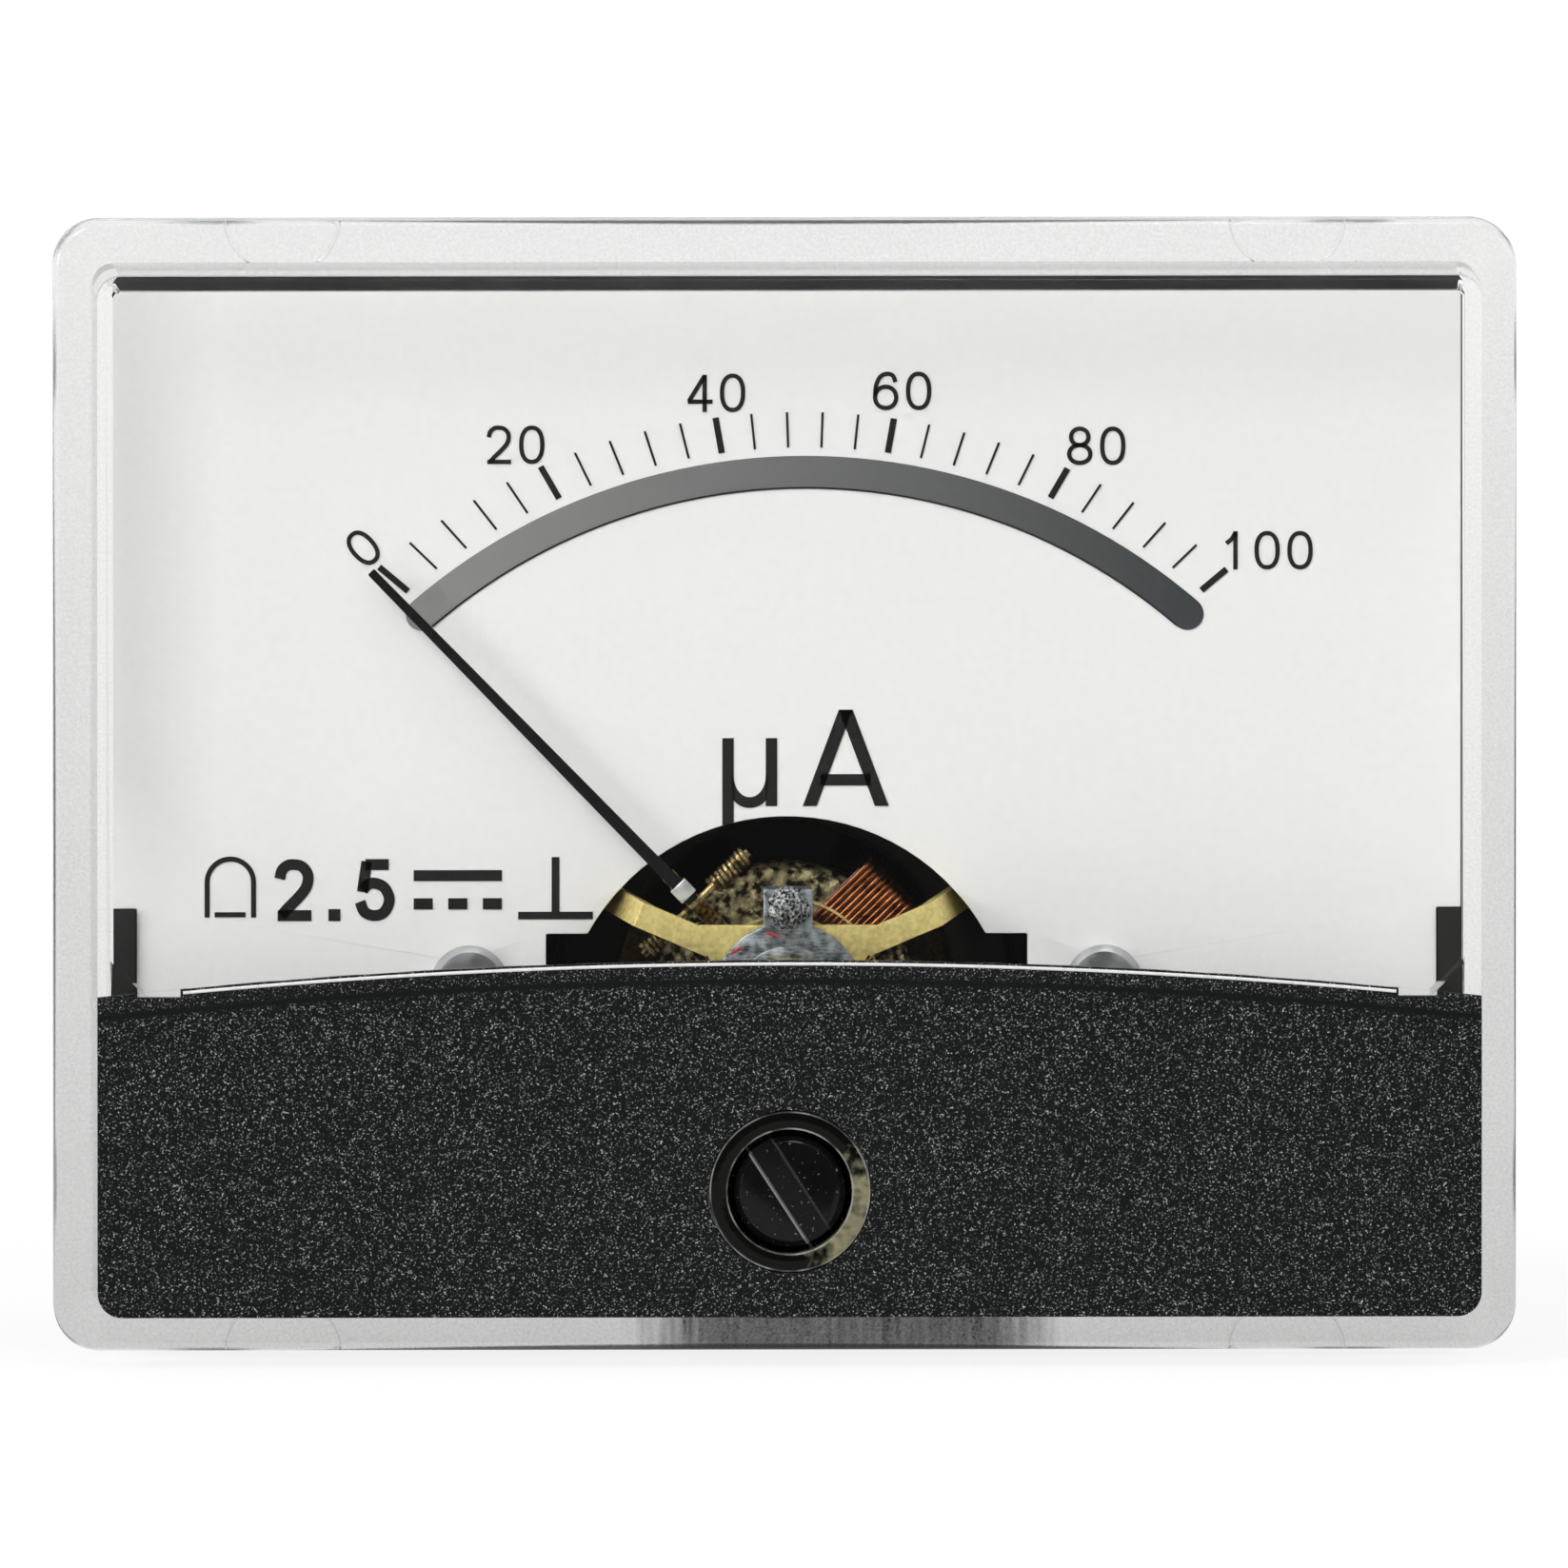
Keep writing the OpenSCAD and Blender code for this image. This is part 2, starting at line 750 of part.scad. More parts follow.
module terminal_studs() {
    color([0.8, 0.65, 0.3])
        face()
            left_and_right(terminal_dx / 2, 0) {
                turned(terminal_r, terminal_end, floor_z + skin, edge_break);
                translate([0, 0, floor_z])
                    cylinder(r = terminal_head_r, h = terminal_head_t, $fn = 6);
            }
}

module terminal_washers() {
    color([0.78, 0.79, 0.8])
        face()
            left_and_right(terminal_dx / 2, 0)
                ring(terminal_washer_r, terminal_r + seat_gap, washer_back, -barrel_depth);
}

module solder_lugs() {
    color([0.82, 0.82, 0.8])
        face()
            left_and_right(terminal_dx / 2, 0)
                translate([0, 0, lug_back])
                    linear_extrude(lug_t)
                        difference() {
                            union() {
                                circle(r = lug_r);
                                translate([-lug_tail_w / 2, 0])
                                    square([lug_tail_w, lug_tail_len]);
                                translate([0, lug_tail_len])
                                    circle(r = lug_tail_w / 2);
                            }
                            circle(r = terminal_r + seat_gap);
                            translate([0, lug_tail_len])
                                circle(r = lug_eye_r);
                        }
}

module lock_washers() {
    color([0.7, 0.7, 0.72])
        face()
            left_and_right(terminal_dx / 2, 0)
                difference() {
                    ring(lock_r, terminal_r + seat_gap, lock_back, lug_back);
                    translate([0, -lock_split / 2, lock_back - past])
                        cube([2 * lock_r, lock_split, lock_t + 2 * past]);
                }
}

module terminal_nuts() {
    color([0.8, 0.66, 0.34])
        face()
            left_and_right(terminal_dx / 2, 0)
                hex_nut(terminal_nut_r, terminal_r + seat_gap, nut_back, lock_back);
}

module movement_frame() {
    color([0.08, 0.08, 0.08])
        at_pivot()
            difference() {
                union() {
                    rod(frame_r, frame_back, frame_z);
                    left_and_right(dial_screw_x, dial_screw_y)
                        rod(pillar_r, frame_z - pillar_depth, dial_back);
                    left_and_right((dial_screw_x + frame_r - past) / 2, dial_screw_y)
                        translate([0, 0, frame_z - pillar_depth / 2])
                            cube([dial_screw_x - frame_r + past, web_w, pillar_depth], center = true);
                    left_and_right(foot_x, foot_y)
                        rod(pillar_r, frame_z - pillar_depth, frame_z);
                    both_sides()
                        frame_ear();
                    left_and_right(rear_pillar_x, 0)
                        rod(rear_pillar_r, rear_bridge_front, frame_back + skin);
                }
                rod(yoke_r + seat_gap, core_back, frame_z + past);
                rod(yoke_bore, frame_back - past, frame_z + past);
                left_and_right(dial_screw_x, dial_screw_y)
                    rod(small_shank_r + seat_gap, dial_z - dial_shank_len - seat_gap, dial_z);
                left_and_right(foot_x, foot_y)
                    rod(small_shank_r + seat_gap,
                        frame_z + bridge_t - bridge_shank_len - seat_gap, frame_z + past);
                left_and_right(ear_x, ear_y)
                    rod(frame_shank_r + seat_gap, ear_back - past, ear_front + past);
                left_and_right(rear_pillar_x, 0)
                    rod(small_shank_r + seat_gap, rear_bridge_front - past,
                        rear_bridge_back + bridge_shank_len + seat_gap);
            }
}

// Ear that is screwed to a boss in the barrel, with its arm from the ring
module frame_ear() {
    translate([ear_x, ear_y, 0])
        rod(ear_r, ear_back, ear_front);
    rotate(ear_angle)
        translate([frame_r - past, -web_w / 2, ear_back + web_step])
            cube([ear_web_end - frame_r + past, web_w, ear_t - 2 * web_step]);
}

module frame_screws() {
    color([0.72, 0.72, 0.74])
        at_pivot()
            left_and_right(ear_x, ear_y)
                translate([0, 0, ear_front])
                    slotted_screw(frame_shank_r, frame_shank_len - seat_gap, frame_head_r, frame_head_t);
}

module yoke_ring() {
    color([0.16, 0.16, 0.16])
        at_pivot()
            rotate_extrude()
                polygon([
                    [yoke_bore, core_back], [yoke_r, core_back], [yoke_r, frame_z - edge_break],
                    [yoke_r - edge_break, frame_z], [yoke_bore + edge_break, frame_z],
                    [yoke_bore, frame_z - edge_break]
                ]);
}

module core_magnet() {
    color([0.42, 0.35, 0.2])
        at_pivot()
            turned(core_r, core_back, frame_z, edge_break);
}

module core_spacers() {
    reach = 2 * yoke_bore;
    color([0.12, 0.12, 0.12])
        at_pivot()
            for (turn = [90, 270])
                rotate(turn)
                    intersection() {
                        ring(yoke_bore, core_r, spacer_back, spacer_front);
                        translate([0, 0, spacer_back - past])
                            linear_extrude(spacer_front - spacer_back + 2 * past)
                                polygon([
                                    [0, 0],
                                    [reach, -reach * tan(spacer_half)],
                                    [reach, reach * tan(spacer_half)]
                                ]);
                    }
}

module front_bridge() {
    color([0.78, 0.66, 0.34])
        at_pivot()
            difference() {
                union() {
                    translate([0, 0, bridge_z])
                        linear_extrude(bridge_t) {
                            circle(r = washer_r);
                            polygon([
                                [-knee_x, bridge_top], [knee_x, bridge_top],
                                [flank_x, flank_y], [waist_x, -waist_y],
                                [-waist_x, -waist_y], [-flank_x, flank_y]
                            ]);
                        }
                    both_sides()
                        translate([knee_x, knee_y, 0])
                            rotate(bridge_angle)
                                bridge_arm();
                }
                rod(jewel_screw_r + seat_gap, bridge_z - past, bridge_z + past + bridge_t);
                left_and_right(foot_x, foot_y)
                    rod(small_shank_r + seat_gap, frame_z - past, frame_z + bridge_t + past);
            }
}

// Strip that runs out level, dives under the dial and ends in a flat foot
module bridge_arm() {
    shift = 0.8 * bridge_t;
    rotate([90, 0, 0])
        linear_extrude(bridge_w, center = true)
            polygon([
                [-arm_root, bridge_z], [arm_flat - shift, bridge_z],
                [arm_flat + arm_run - shift, frame_z], [foot_at, frame_z],
                [foot_at, frame_z + bridge_t], [arm_flat + arm_run, frame_z + bridge_t],
                [arm_flat, bridge_z + bridge_t], [-arm_root, bridge_z + bridge_t]
            ]);
    translate([foot_at, 0, 0])
        rod(foot_r, frame_z, frame_z + bridge_t);
}

module rear_bridge() {
    spring_post_w = 2 * tab_half;
    color([0.78, 0.66, 0.34])
        at_pivot()
            difference() {
                union() {
                    translate([0, 0, rear_bridge_back])
                        linear_extrude(bridge_t) {
                            square([2 * rear_pillar_x, 2 * rear_pillar_r], center = true);
                            circle(r = rear_disc_r);
                            left_and_right(rear_pillar_x, 0)
                                circle(r = rear_pillar_r);
                            translate([-spring_post_w / 2, 0])
                                square([spring_post_w, tab_top]);
                        }
                    translate([-spring_post_w / 2, tab_top - lever_t, rear_bridge_back])
                        cube([spring_post_w, lever_t, mirror_z - collet_z - rear_bridge_back]);
                }
                rod(jewel_screw_r + seat_gap, rear_bridge_back - past, rear_bridge_front + past);
                left_and_right(rear_pillar_x, 0)
                    rod(small_shank_r + seat_gap, rear_bridge_back - past, rear_bridge_front + past);
            }
}

module bridge_screws() {
    color([0.7, 0.7, 0.72])
        at_pivot()
            left_and_right(foot_x, foot_y)
                translate([0, 0, frame_z + bridge_t])
                    slotted_screw(small_shank_r, bridge_shank_len, bridge_head_r, bridge_head_t);
}

module rear_bridge_screws() {
    color([0.7, 0.7, 0.72])
        at_pivot()
            left_and_right(rear_pillar_x, 0)
                translate([0, 0, rear_bridge_back])
                    mirror([0, 0, 1])
                        slotted_screw(small_shank_r, bridge_shank_len, bridge_head_r, bridge_head_t);
}

// Threaded sleeve with a seat for the jewel and a slot to turn it
module jewel_screw() {
    difference() {
        rod(jewel_screw_r, screw_start_z, screw_end_z);
        rod(jewel_r, screw_start_z - past, screw_start_z + jewel_t);
        translate([0, 0, screw_end_z])
            cube([3 * jewel_screw_r, slot_cut_w, 2 * slot_cut_d], center = true);
    }
}

module front_jewel_screw() {
    color([0.8, 0.67, 0.36])
        at_pivot()
            jewel_screw();
}

module rear_jewel_screw() {
    color([0.8, 0.67, 0.36])
        at_pivot()
            rear_end()
                jewel_screw();
}

// Turns a piece of the rotor's front end to the rear end
module rear_end() {
    translate([0, 0, mirror_z])
        mirror([0, 0, 1])
            children();
}

// A jewel cup with the blind hole that the pivot turns in
module jewel() {
    difference() {
        rod(jewel_r, screw_start_z, screw_start_z + jewel_t);
        rod(tip_r + run_gap, screw_start_z - past, tip_end_z + run_gap);
    }
}

module bearing_jewels() {
    color([0.75, 0.1, 0.2])
        at_pivot() {
            jewel();
            rear_end()
                jewel();
        }
}

module front_locknut() {
    color([0.76, 0.64, 0.34])
        at_pivot()
            hex_nut(nut_r, jewel_screw_r + seat_gap, nut_z, nut_z + nut_t);
}

module rear_locknut() {
    color([0.76, 0.64, 0.34])
        at_pivot()
            hex_nut(nut_r, jewel_screw_r + seat_gap, rear_bridge_back - nut_t, rear_bridge_back);
}

module lever_washers() {
    color([0.6, 0.6, 0.6])
        at_pivot() {
            ring(washer_r, jewel_screw_r + seat_gap, lever_z - washer_t, lever_z);
            ring(washer_r, jewel_screw_r + seat_gap, lever_z + lever_t, nut_z);
        }
}

// Direction of a route at one of its points
function along(route, i) =
    let (step = route[min(i + 1, len(route) - 1)] - route[max(i - 1, 0)])
    step / norm(step);

// One ring of points round a route
function wire_ring(route, i) =
    let (
        t = along(route, i),
        side = cross(t, abs(t[1]) < 0.9 ? [0, 1, 0] : [1, 0, 0]),
        u = side / norm(side),
        v = cross(t, u)
    )
    [for (k = [0:lead_sides - 1])
        let (a = 360 * k / lead_sides)
        route[i] + lead_r * (u * cos(a) + v * sin(a))];

// A wire along a route
module wire(route) {
    count = len(route);
    last = (count - 1) * lead_sides;
    polyhedron(
        points = [for (i = [0:count - 1]) each wire_ring(route, i)],
        faces = concat(
            [[for (k = [0:lead_sides - 1]) k]],
            [for (i = [0:count - 2], k = [0:lead_sides - 1])
                let (next = (k + 1) % lead_sides, low = i * lead_sides, high = low + lead_sides)
                [low + k, high + k, high + next, low + next]],
            [[for (k = [0:lead_sides - 1]) last + lead_sides - 1 - k]]
        )
    );
}

module lead_wires() {
    color([0.7, 0.12, 0.1])
        face() {
            wire(left_lead);
            wire(right_lead);
        }
}

// Closed loop of the coil's section, by its half length and its two ends
module coil_frame(half, z0, z1, r) {
    translate([0, (z0 + z1) / 2])
        rounded(2 * half, z1 - z0, r);
}

// The coil's section drawn out to its width, square to the pointer
module coil_extrude() {
    rotate([90, 0, 90])
        linear_extrude(coil_w, center = true)
            children();
}

module coil_former() {
    half = core_r + core_gap;
    color([0.8, 0.8, 0.8])
        on_pointer()
            coil_extrude()
                difference() {
                    coil_frame(former_half, coil_back + winding_t, coil_front - winding_t, former_t);
                    coil_frame(half, core_back - end_gap, frame_z + end_gap, former_t / 2);
                }
}

module coil_winding() {
    color([0.6, 0.28, 0.12])
        on_pointer()
            coil_extrude()
                difference() {
                    coil_frame(coil_half, coil_back, coil_front, winding_t);
                    coil_frame(former_half, coil_back + winding_t, coil_front - winding_t, former_t);
                }
}

// Disc glued to the coil with the steel pivot that stands on it
module staff() {
    rod(staff_base_r, coil_front, hub_z);
    rod(staff_r, hub_z - skin, collet_z + collet_t);
    rod(tip_r, hub_z, tip_end_z);
}

module pivot_staffs() {
    color([0.7, 0.71, 0.74])
        on_pointer() {
            staff();
            rear_end()
                staff();
        }
}

module pointer_arm() {
    shift = arm_t / 2;
    color([0.76, 0.66, 0.4])
        on_pointer()
            difference() {
                union() {
                    rod(hub_r, hub_z, hub_z + hub_t);
                    rotate([90, 0, 0])
                        linear_extrude(arm_w, center = true)
                            polygon([
                                [0, arm_low], [crank_start + shift, arm_low], [crank_end + shift, arm_high],
                                [arm_end, arm_high], [arm_end, pointer_z],
                                [crank_end - shift, pointer_z], [crank_start - shift, arm_low + arm_t],
                                [0, arm_low + arm_t]
                            ]);
                    translate([cross_at, 0, arm_high])
                        rotate([90, 0, 0])
                            rod(cross_r, -cross_half, cross_half);
                    translate([0, 0, hub_z + hub_t / 2])
                        rotate([0, -90, 0])
                            rod(tail_r, 0, tail_len);
                }
                rod(staff_r + skin, hub_z - past, hub_z + hub_t + past);
            }
}

module pointer() {
    foot = crank_end;
    color([0.07, 0.07, 0.07])
        on_pointer()
            translate([0, 0, pointer_z])
                linear_extrude(pointer_t)
                    polygon([
                        [foot, -pointer_w / 2], [pointer_tip, -tip_w / 2],
                        [pointer_tip, tip_w / 2], [foot, pointer_w / 2]
                    ]);
}

module pointer_clip() {
    height = arm_t + pointer_t + 2 * clip_t;
    middle = pointer_z + (pointer_t - arm_t) / 2;
    color([0.86, 0.87, 0.87])
        on_pointer()
            translate([clip_from + clip_len / 2, 0, middle])
                difference() {
                    cube([clip_len, arm_w + 2 * clip_t, height], center = true);
                    cube([clip_len + past, arm_w, height - 2 * clip_t], center = true);
                }
}

module balance_weights() {
    color([0.72, 0.55, 0.3])
        on_pointer() {
            translate([cross_at, 0, arm_high])
                rotate([90, 0, 0])
                    for (from = [weight_gap, -weight_gap - weight_len])
                        ring(weight_r, cross_r + skin, from, from + weight_len);
            translate([0, 0, hub_z + hub_t / 2])
                rotate([0, -90, 0])
                    ring(tail_weight_r, tail_r + skin,
                        tail_weight_end - tail_weight_len, tail_weight_end);
        }
}

module spring_collets() {
    color([0.78, 0.68, 0.4])
        on_pointer() {
            ring(collet_r, staff_r + skin, collet_z, collet_z + collet_t);
            rear_end()
                ring(collet_r, staff_r + skin, collet_z, collet_z + collet_t);
        }
}

// One edge of the hairspring, from its collet out to its fixed end
function spiral(offset) =
    let (steps = 36 * spring_turns, from = collet_r + spring_t / 2 + skin)
    [for (i = [0:steps])
        let (
            r = from + (spring_end_r - from) * i / steps + offset,
            a = 90 - 360 * spring_turns * (1 - i / steps)
        )
        [r * cos(a), r * sin(a)]];

function reversed(list) = [for (i = [len(list) - 1:-1:0]) list[i]];

module hairspring() {
    translate([0, 0, collet_z + (collet_t - spring_w) / 2])
        linear_extrude(spring_w)
            polygon(concat(spiral(spring_t / 2), reversed(spiral(-spring_t / 2))));
}

module front_hairspring() {
    color([0.75, 0.6, 0.3])
        at_pivot()
            hairspring();
}

module rear_hairspring() {
    color([0.75, 0.6, 0.3])
        at_pivot()
            rear_end()
                hairspring();
}

module zero_screw() {
    color([0.05, 0.05, 0.05])
        face()
            translate([0, pivot_y - zero_arm, 0]) {
                difference() {
                    turned(zero_head_r, zero_flange_front - skin, zero_front, edge_break);
                    translate([0, 0, zero_front])
                        rotate(zero_slot_angle)
                            cube([3 * zero_head_r, zero_slot_w, 2 * zero_slot_d], center = true);
                }
                rod(zero_flange_r, zero_flange_back, zero_flange_front);
                translate([0, zero_throw, 0])
                    rod(zero_pin_r, lever_z - washer_t, zero_flange_back + skin);
            }
}

module zero_lever() {
    color([0.6, 0.62, 0.63])
        at_pivot()
            difference() {
                union() {
                    translate([0, 0, lever_z])
                        linear_extrude(lever_t) {
                            circle(r = lever_r);
                            translate([-tab_half, 0])
                                square([2 * tab_half, tab_top]);
                            translate([-fork_half, -fork_end])
                                square([2 * fork_half, fork_end]);
                        }
                    translate([-tab_half, tab_top - lever_t, collet_z])
                        cube([2 * tab_half, lever_t, lever_z + lever_t - collet_z]);
                }
                rod(jewel_screw_r + run_gap, lever_z - past, lever_z + lever_t + past);
                translate([-zero_pin_r - fork_play, -fork_end - past, lever_z - past])
                    cube([2 * (zero_pin_r + fork_play), fork_end - fork_from + past, lever_t + 2 * past]);
            }
}

module lever_solder() {
    ball_r = (solder_r * solder_r + solder_h * solder_h) / (2 * solder_h);
    color([0.55, 0.57, 0.58])
        at_pivot()
            translate([0, solder_y, lever_z + lever_t])
                difference() {
                    translate([0, 0, solder_h - ball_r])
                        sphere(r = ball_r);
                    translate([0, 0, -2 * ball_r])
                        cube(4 * ball_r, center = true);
                }
}

front_cover();
lower_mask();
dial_plate();
dial_screws();
base();
mounting_studs();
terminal_studs();
terminal_washers();
solder_lugs();
lock_washers();
terminal_nuts();
movement_frame();
frame_screws();
yoke_ring();
core_magnet();
core_spacers();
front_bridge();
rear_bridge();
bridge_screws();
rear_bridge_screws();
front_jewel_screw();
rear_jewel_screw();
bearing_jewels();
front_locknut();
rear_locknut();
lever_washers();
lead_wires();
coil_former();
coil_winding();
pivot_staffs();
pointer_arm();
pointer();
pointer_clip();
balance_weights();
spring_collets();
front_hairspring();
rear_hairspring();
zero_screw();
zero_lever();
lever_solder();
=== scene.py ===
"""A moving-coil panel meter, dressed over its CAD solids in the order in which it is put together."""
import json
import math

import bmesh
import bpy
from mathutils import Matrix, Vector, noise
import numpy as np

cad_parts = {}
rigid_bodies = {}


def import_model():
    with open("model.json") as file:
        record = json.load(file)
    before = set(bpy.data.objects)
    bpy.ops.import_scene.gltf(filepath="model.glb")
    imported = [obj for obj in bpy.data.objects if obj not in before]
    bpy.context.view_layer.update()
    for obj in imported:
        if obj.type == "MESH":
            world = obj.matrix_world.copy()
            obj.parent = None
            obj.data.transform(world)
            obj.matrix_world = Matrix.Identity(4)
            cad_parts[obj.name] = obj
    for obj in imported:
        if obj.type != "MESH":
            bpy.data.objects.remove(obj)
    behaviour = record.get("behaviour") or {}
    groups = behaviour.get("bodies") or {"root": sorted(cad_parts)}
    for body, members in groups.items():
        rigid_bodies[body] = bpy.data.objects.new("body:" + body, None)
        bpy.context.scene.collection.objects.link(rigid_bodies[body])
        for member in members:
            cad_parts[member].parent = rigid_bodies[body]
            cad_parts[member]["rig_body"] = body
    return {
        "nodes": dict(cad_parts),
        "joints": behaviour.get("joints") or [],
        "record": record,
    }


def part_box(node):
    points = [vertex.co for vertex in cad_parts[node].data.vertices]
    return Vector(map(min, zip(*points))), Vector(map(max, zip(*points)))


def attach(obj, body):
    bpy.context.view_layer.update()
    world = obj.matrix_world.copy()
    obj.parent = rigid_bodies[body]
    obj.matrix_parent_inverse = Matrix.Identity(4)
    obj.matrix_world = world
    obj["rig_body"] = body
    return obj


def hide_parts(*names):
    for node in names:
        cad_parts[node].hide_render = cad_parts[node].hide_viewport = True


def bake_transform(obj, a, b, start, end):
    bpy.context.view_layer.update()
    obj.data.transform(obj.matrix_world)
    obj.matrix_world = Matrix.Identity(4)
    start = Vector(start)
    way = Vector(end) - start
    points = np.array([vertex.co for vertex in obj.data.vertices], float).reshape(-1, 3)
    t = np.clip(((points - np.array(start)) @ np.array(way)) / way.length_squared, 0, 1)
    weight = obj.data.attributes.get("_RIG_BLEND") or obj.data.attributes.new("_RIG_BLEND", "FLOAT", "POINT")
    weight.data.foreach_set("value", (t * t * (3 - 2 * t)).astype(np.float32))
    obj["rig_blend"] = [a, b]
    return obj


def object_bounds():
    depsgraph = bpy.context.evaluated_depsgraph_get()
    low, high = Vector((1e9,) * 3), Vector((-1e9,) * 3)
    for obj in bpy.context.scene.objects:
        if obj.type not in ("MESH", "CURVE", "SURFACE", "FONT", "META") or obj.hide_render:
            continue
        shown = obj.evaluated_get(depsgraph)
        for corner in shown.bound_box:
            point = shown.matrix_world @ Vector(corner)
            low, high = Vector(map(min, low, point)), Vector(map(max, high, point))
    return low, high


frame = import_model()
cad_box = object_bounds()

# Studio.
# A white table and backdrop with soft lamps, the strongest at the upper left. The camera stands
# 2.5 m away, a little above and to the left, so that the front is seen nearly square on.
scene = bpy.context.scene
scene.view_settings.view_transform = "Standard"


class Value:
    """A socket whose number varies from place to place. Arithmetic on it adds Math nodes."""

    def __init__(self, nodes, socket):
        self.nodes = nodes
        self.socket = socket

    def math(self, operation, *others):
        """A Math node on this value and others, in that order."""
        terms = dict(enumerate((self, *others)))
        return self.nodes.add("ShaderNodeMath", {"operation": operation}, terms)

    def __add__(self, other):
        return self.math("ADD", other)

    def __sub__(self, other):
        return self.math("SUBTRACT", other)

    def __rsub__(self, other):
        return self.nodes.add("ShaderNodeMath", {"operation": "SUBTRACT"}, {0: other, 1: self})

    def __mul__(self, other):
        return self.math("MULTIPLY", other)

    def __truediv__(self, other):
        return self.math("DIVIDE", other)

    def __pow__(self, other):
        return self.math("POWER", other)

    def __mod__(self, other):
        return self.math("MODULO", other)

    def __gt__(self, other):
        return self.math("GREATER_THAN", other)

    def __lt__(self, other):
        return self.math("LESS_THAN", other)

    def __abs__(self):
        return self.math("ABSOLUTE")

    __radd__ = __add__
    __rmul__ = __mul__


class Nodes:
    """A node tree. Each node is set up first, then its sockets are filled, and one output comes back."""

    def __init__(self, tree):
        self.tree = tree

    def add(self, kind, settings={}, inputs={}, output=0):
        node = self.tree.nodes.new(kind)
        for name, value in settings.items():
            setattr(node, name, value)
        for name, value in inputs.items():
            self.fill(node.inputs[name], value)
        return Value(self, node.outputs[output])

    def fill(self, socket, value):
        """Links a value to a socket, or sets a plain number or colour on it."""
        if isinstance(value, Value):
            self.tree.links.new(value.socket, socket)
        else:
            socket.default_value = value

    def ramp(self, value, low, high, start=0.0, end=1.0):
        sockets = {"Value": value, "From Min": low, "From Max": high, "To Min": start, "To Max": end}
        return self.add("ShaderNodeMapRange", {}, sockets)


class Finish(Nodes):
    """A material on its Principled shader, with its patterns on the piece's own coordinates."""

    def __init__(self, name, **sockets):
        self.material = bpy.data.materials.new(name)
        self.material.use_nodes = True
        super().__init__(self.material.node_tree)
        self.shader = self.tree.nodes["Principled BSDF"]
        self.place = self.add("ShaderNodeTexCoord", output="Object")
        self.set(**sockets)

    def set(self, **sockets):
        for name, value in sockets.items():
            self.fill(self.shader.inputs[name.replace("_", " ").title().replace("Ior", "IOR")], value)

    def axis(self, letter):
        return self.add("ShaderNodeSeparateXYZ", {}, {0: self.place}, letter)

    def stretched(self, x, y, z):
        return self.add("ShaderNodeMapping", {}, {"Vector": self.place, "Scale": (x, y, z)})

    def grain(self, per_metre, detail, place=None):
        sockets = {"Vector": place or self.place, "Scale": per_metre, "Detail": detail}
        return self.add("ShaderNodeTexNoise", {}, sockets)

    def tint(self, share, one, other):
        return self.add("ShaderNodeMix", {"data_type": "RGBA"}, {0: share, 6: one, 7: other}, 2)

    def relief(self, height, depth):
        return self.add("ShaderNodeBump", {}, {"Height": height, "Distance": depth, "Strength": 1.0})

    def mottled(self, per_metre, detail, one, other, smooth, rough):
        """One noise that drifts between two colours and between two roughnesses."""
        drift = self.grain(per_metre, detail)
        self.set(base_color=self.tint(drift, one, other), roughness=self.ramp(drift, 0.3, 0.7, smooth, rough))
        return drift

    def gives_way(self, share, other):
        """Another shader takes the place of the Principled one by a share."""
        own = Value(self, self.shader.outputs[0])
        mixed = self.add("ShaderNodeMixShader", {}, {0: share, 1: own, 2: other})
        self.fill(self.tree.nodes["Material Output"].inputs["Surface"], mixed)

    def lets_light_through(self, colour):
        """Lamps shine straight through the piece, dimmed by a colour, while the eye sees its shader."""
        straight = self.add("ShaderNodeBsdfTransparent", {}, {"Color": colour})
        self.gives_way(self.add("ShaderNodeLightPath", output="Is Shadow Ray"), straight)


view_left = math.radians(1.35)
view_up = math.radians(3.3)
view_distance = 2.5
view_aim = Vector((0.00002, 0, 0.0031))
view_width = 0.06436
towards_camera = Vector((
    -math.sin(view_left) * math.cos(view_up), -math.cos(view_left) * math.cos(view_up), math.sin(view_up)
))
lens = bpy.data.cameras.new("camera")
lens.lens = lens.sensor_width * view_distance / view_width
lens.clip_end = 20
camera = bpy.data.objects.new("camera", lens)
camera.location = view_aim + view_distance * towards_camera
camera.rotation_euler = (-towards_camera).to_track_quat("-Z", "Y").to_euler()
scene.collection.objects.link(camera)
scene.camera = camera

floor_z = cad_box[0].z - 0.0002
floor_plan = ((-1.5, -0.2), (1.5, -0.2), (1.5, 2.5), (-1.5, 2.5))
floor_mesh = bpy.data.meshes.new("table")
floor_mesh.from_pydata([(x, y, floor_z) for x, y in floor_plan], [], [(0, 1, 2, 3)])
table = bpy.data.objects.new("table", floor_mesh)
scene.collection.objects.link(table)
white = Finish("white table", base_color=(0.92, 0.92, 0.92, 1), roughness=0.7, specular_ior_level=0.0)
shown_to = ("Camera", "Glossy", "Transmission")
seen = sum((white.add("ShaderNodeLightPath", output=f"Is {kind} Ray") for kind in shown_to), 0.0)
glow = white.add("ShaderNodeEmission", {}, {"Color": (1, 1, 1, 1), "Strength": 1.06})
away = (white.axis("X") * white.axis("X") + white.axis("Y") * white.axis("Y")) ** 0.5
white.gives_way(white.ramp(away, 0.05, 0.3, 0.8, 1.0) * white.ramp(seen, 0, 1), glow)
floor_mesh.materials.append(white.material)

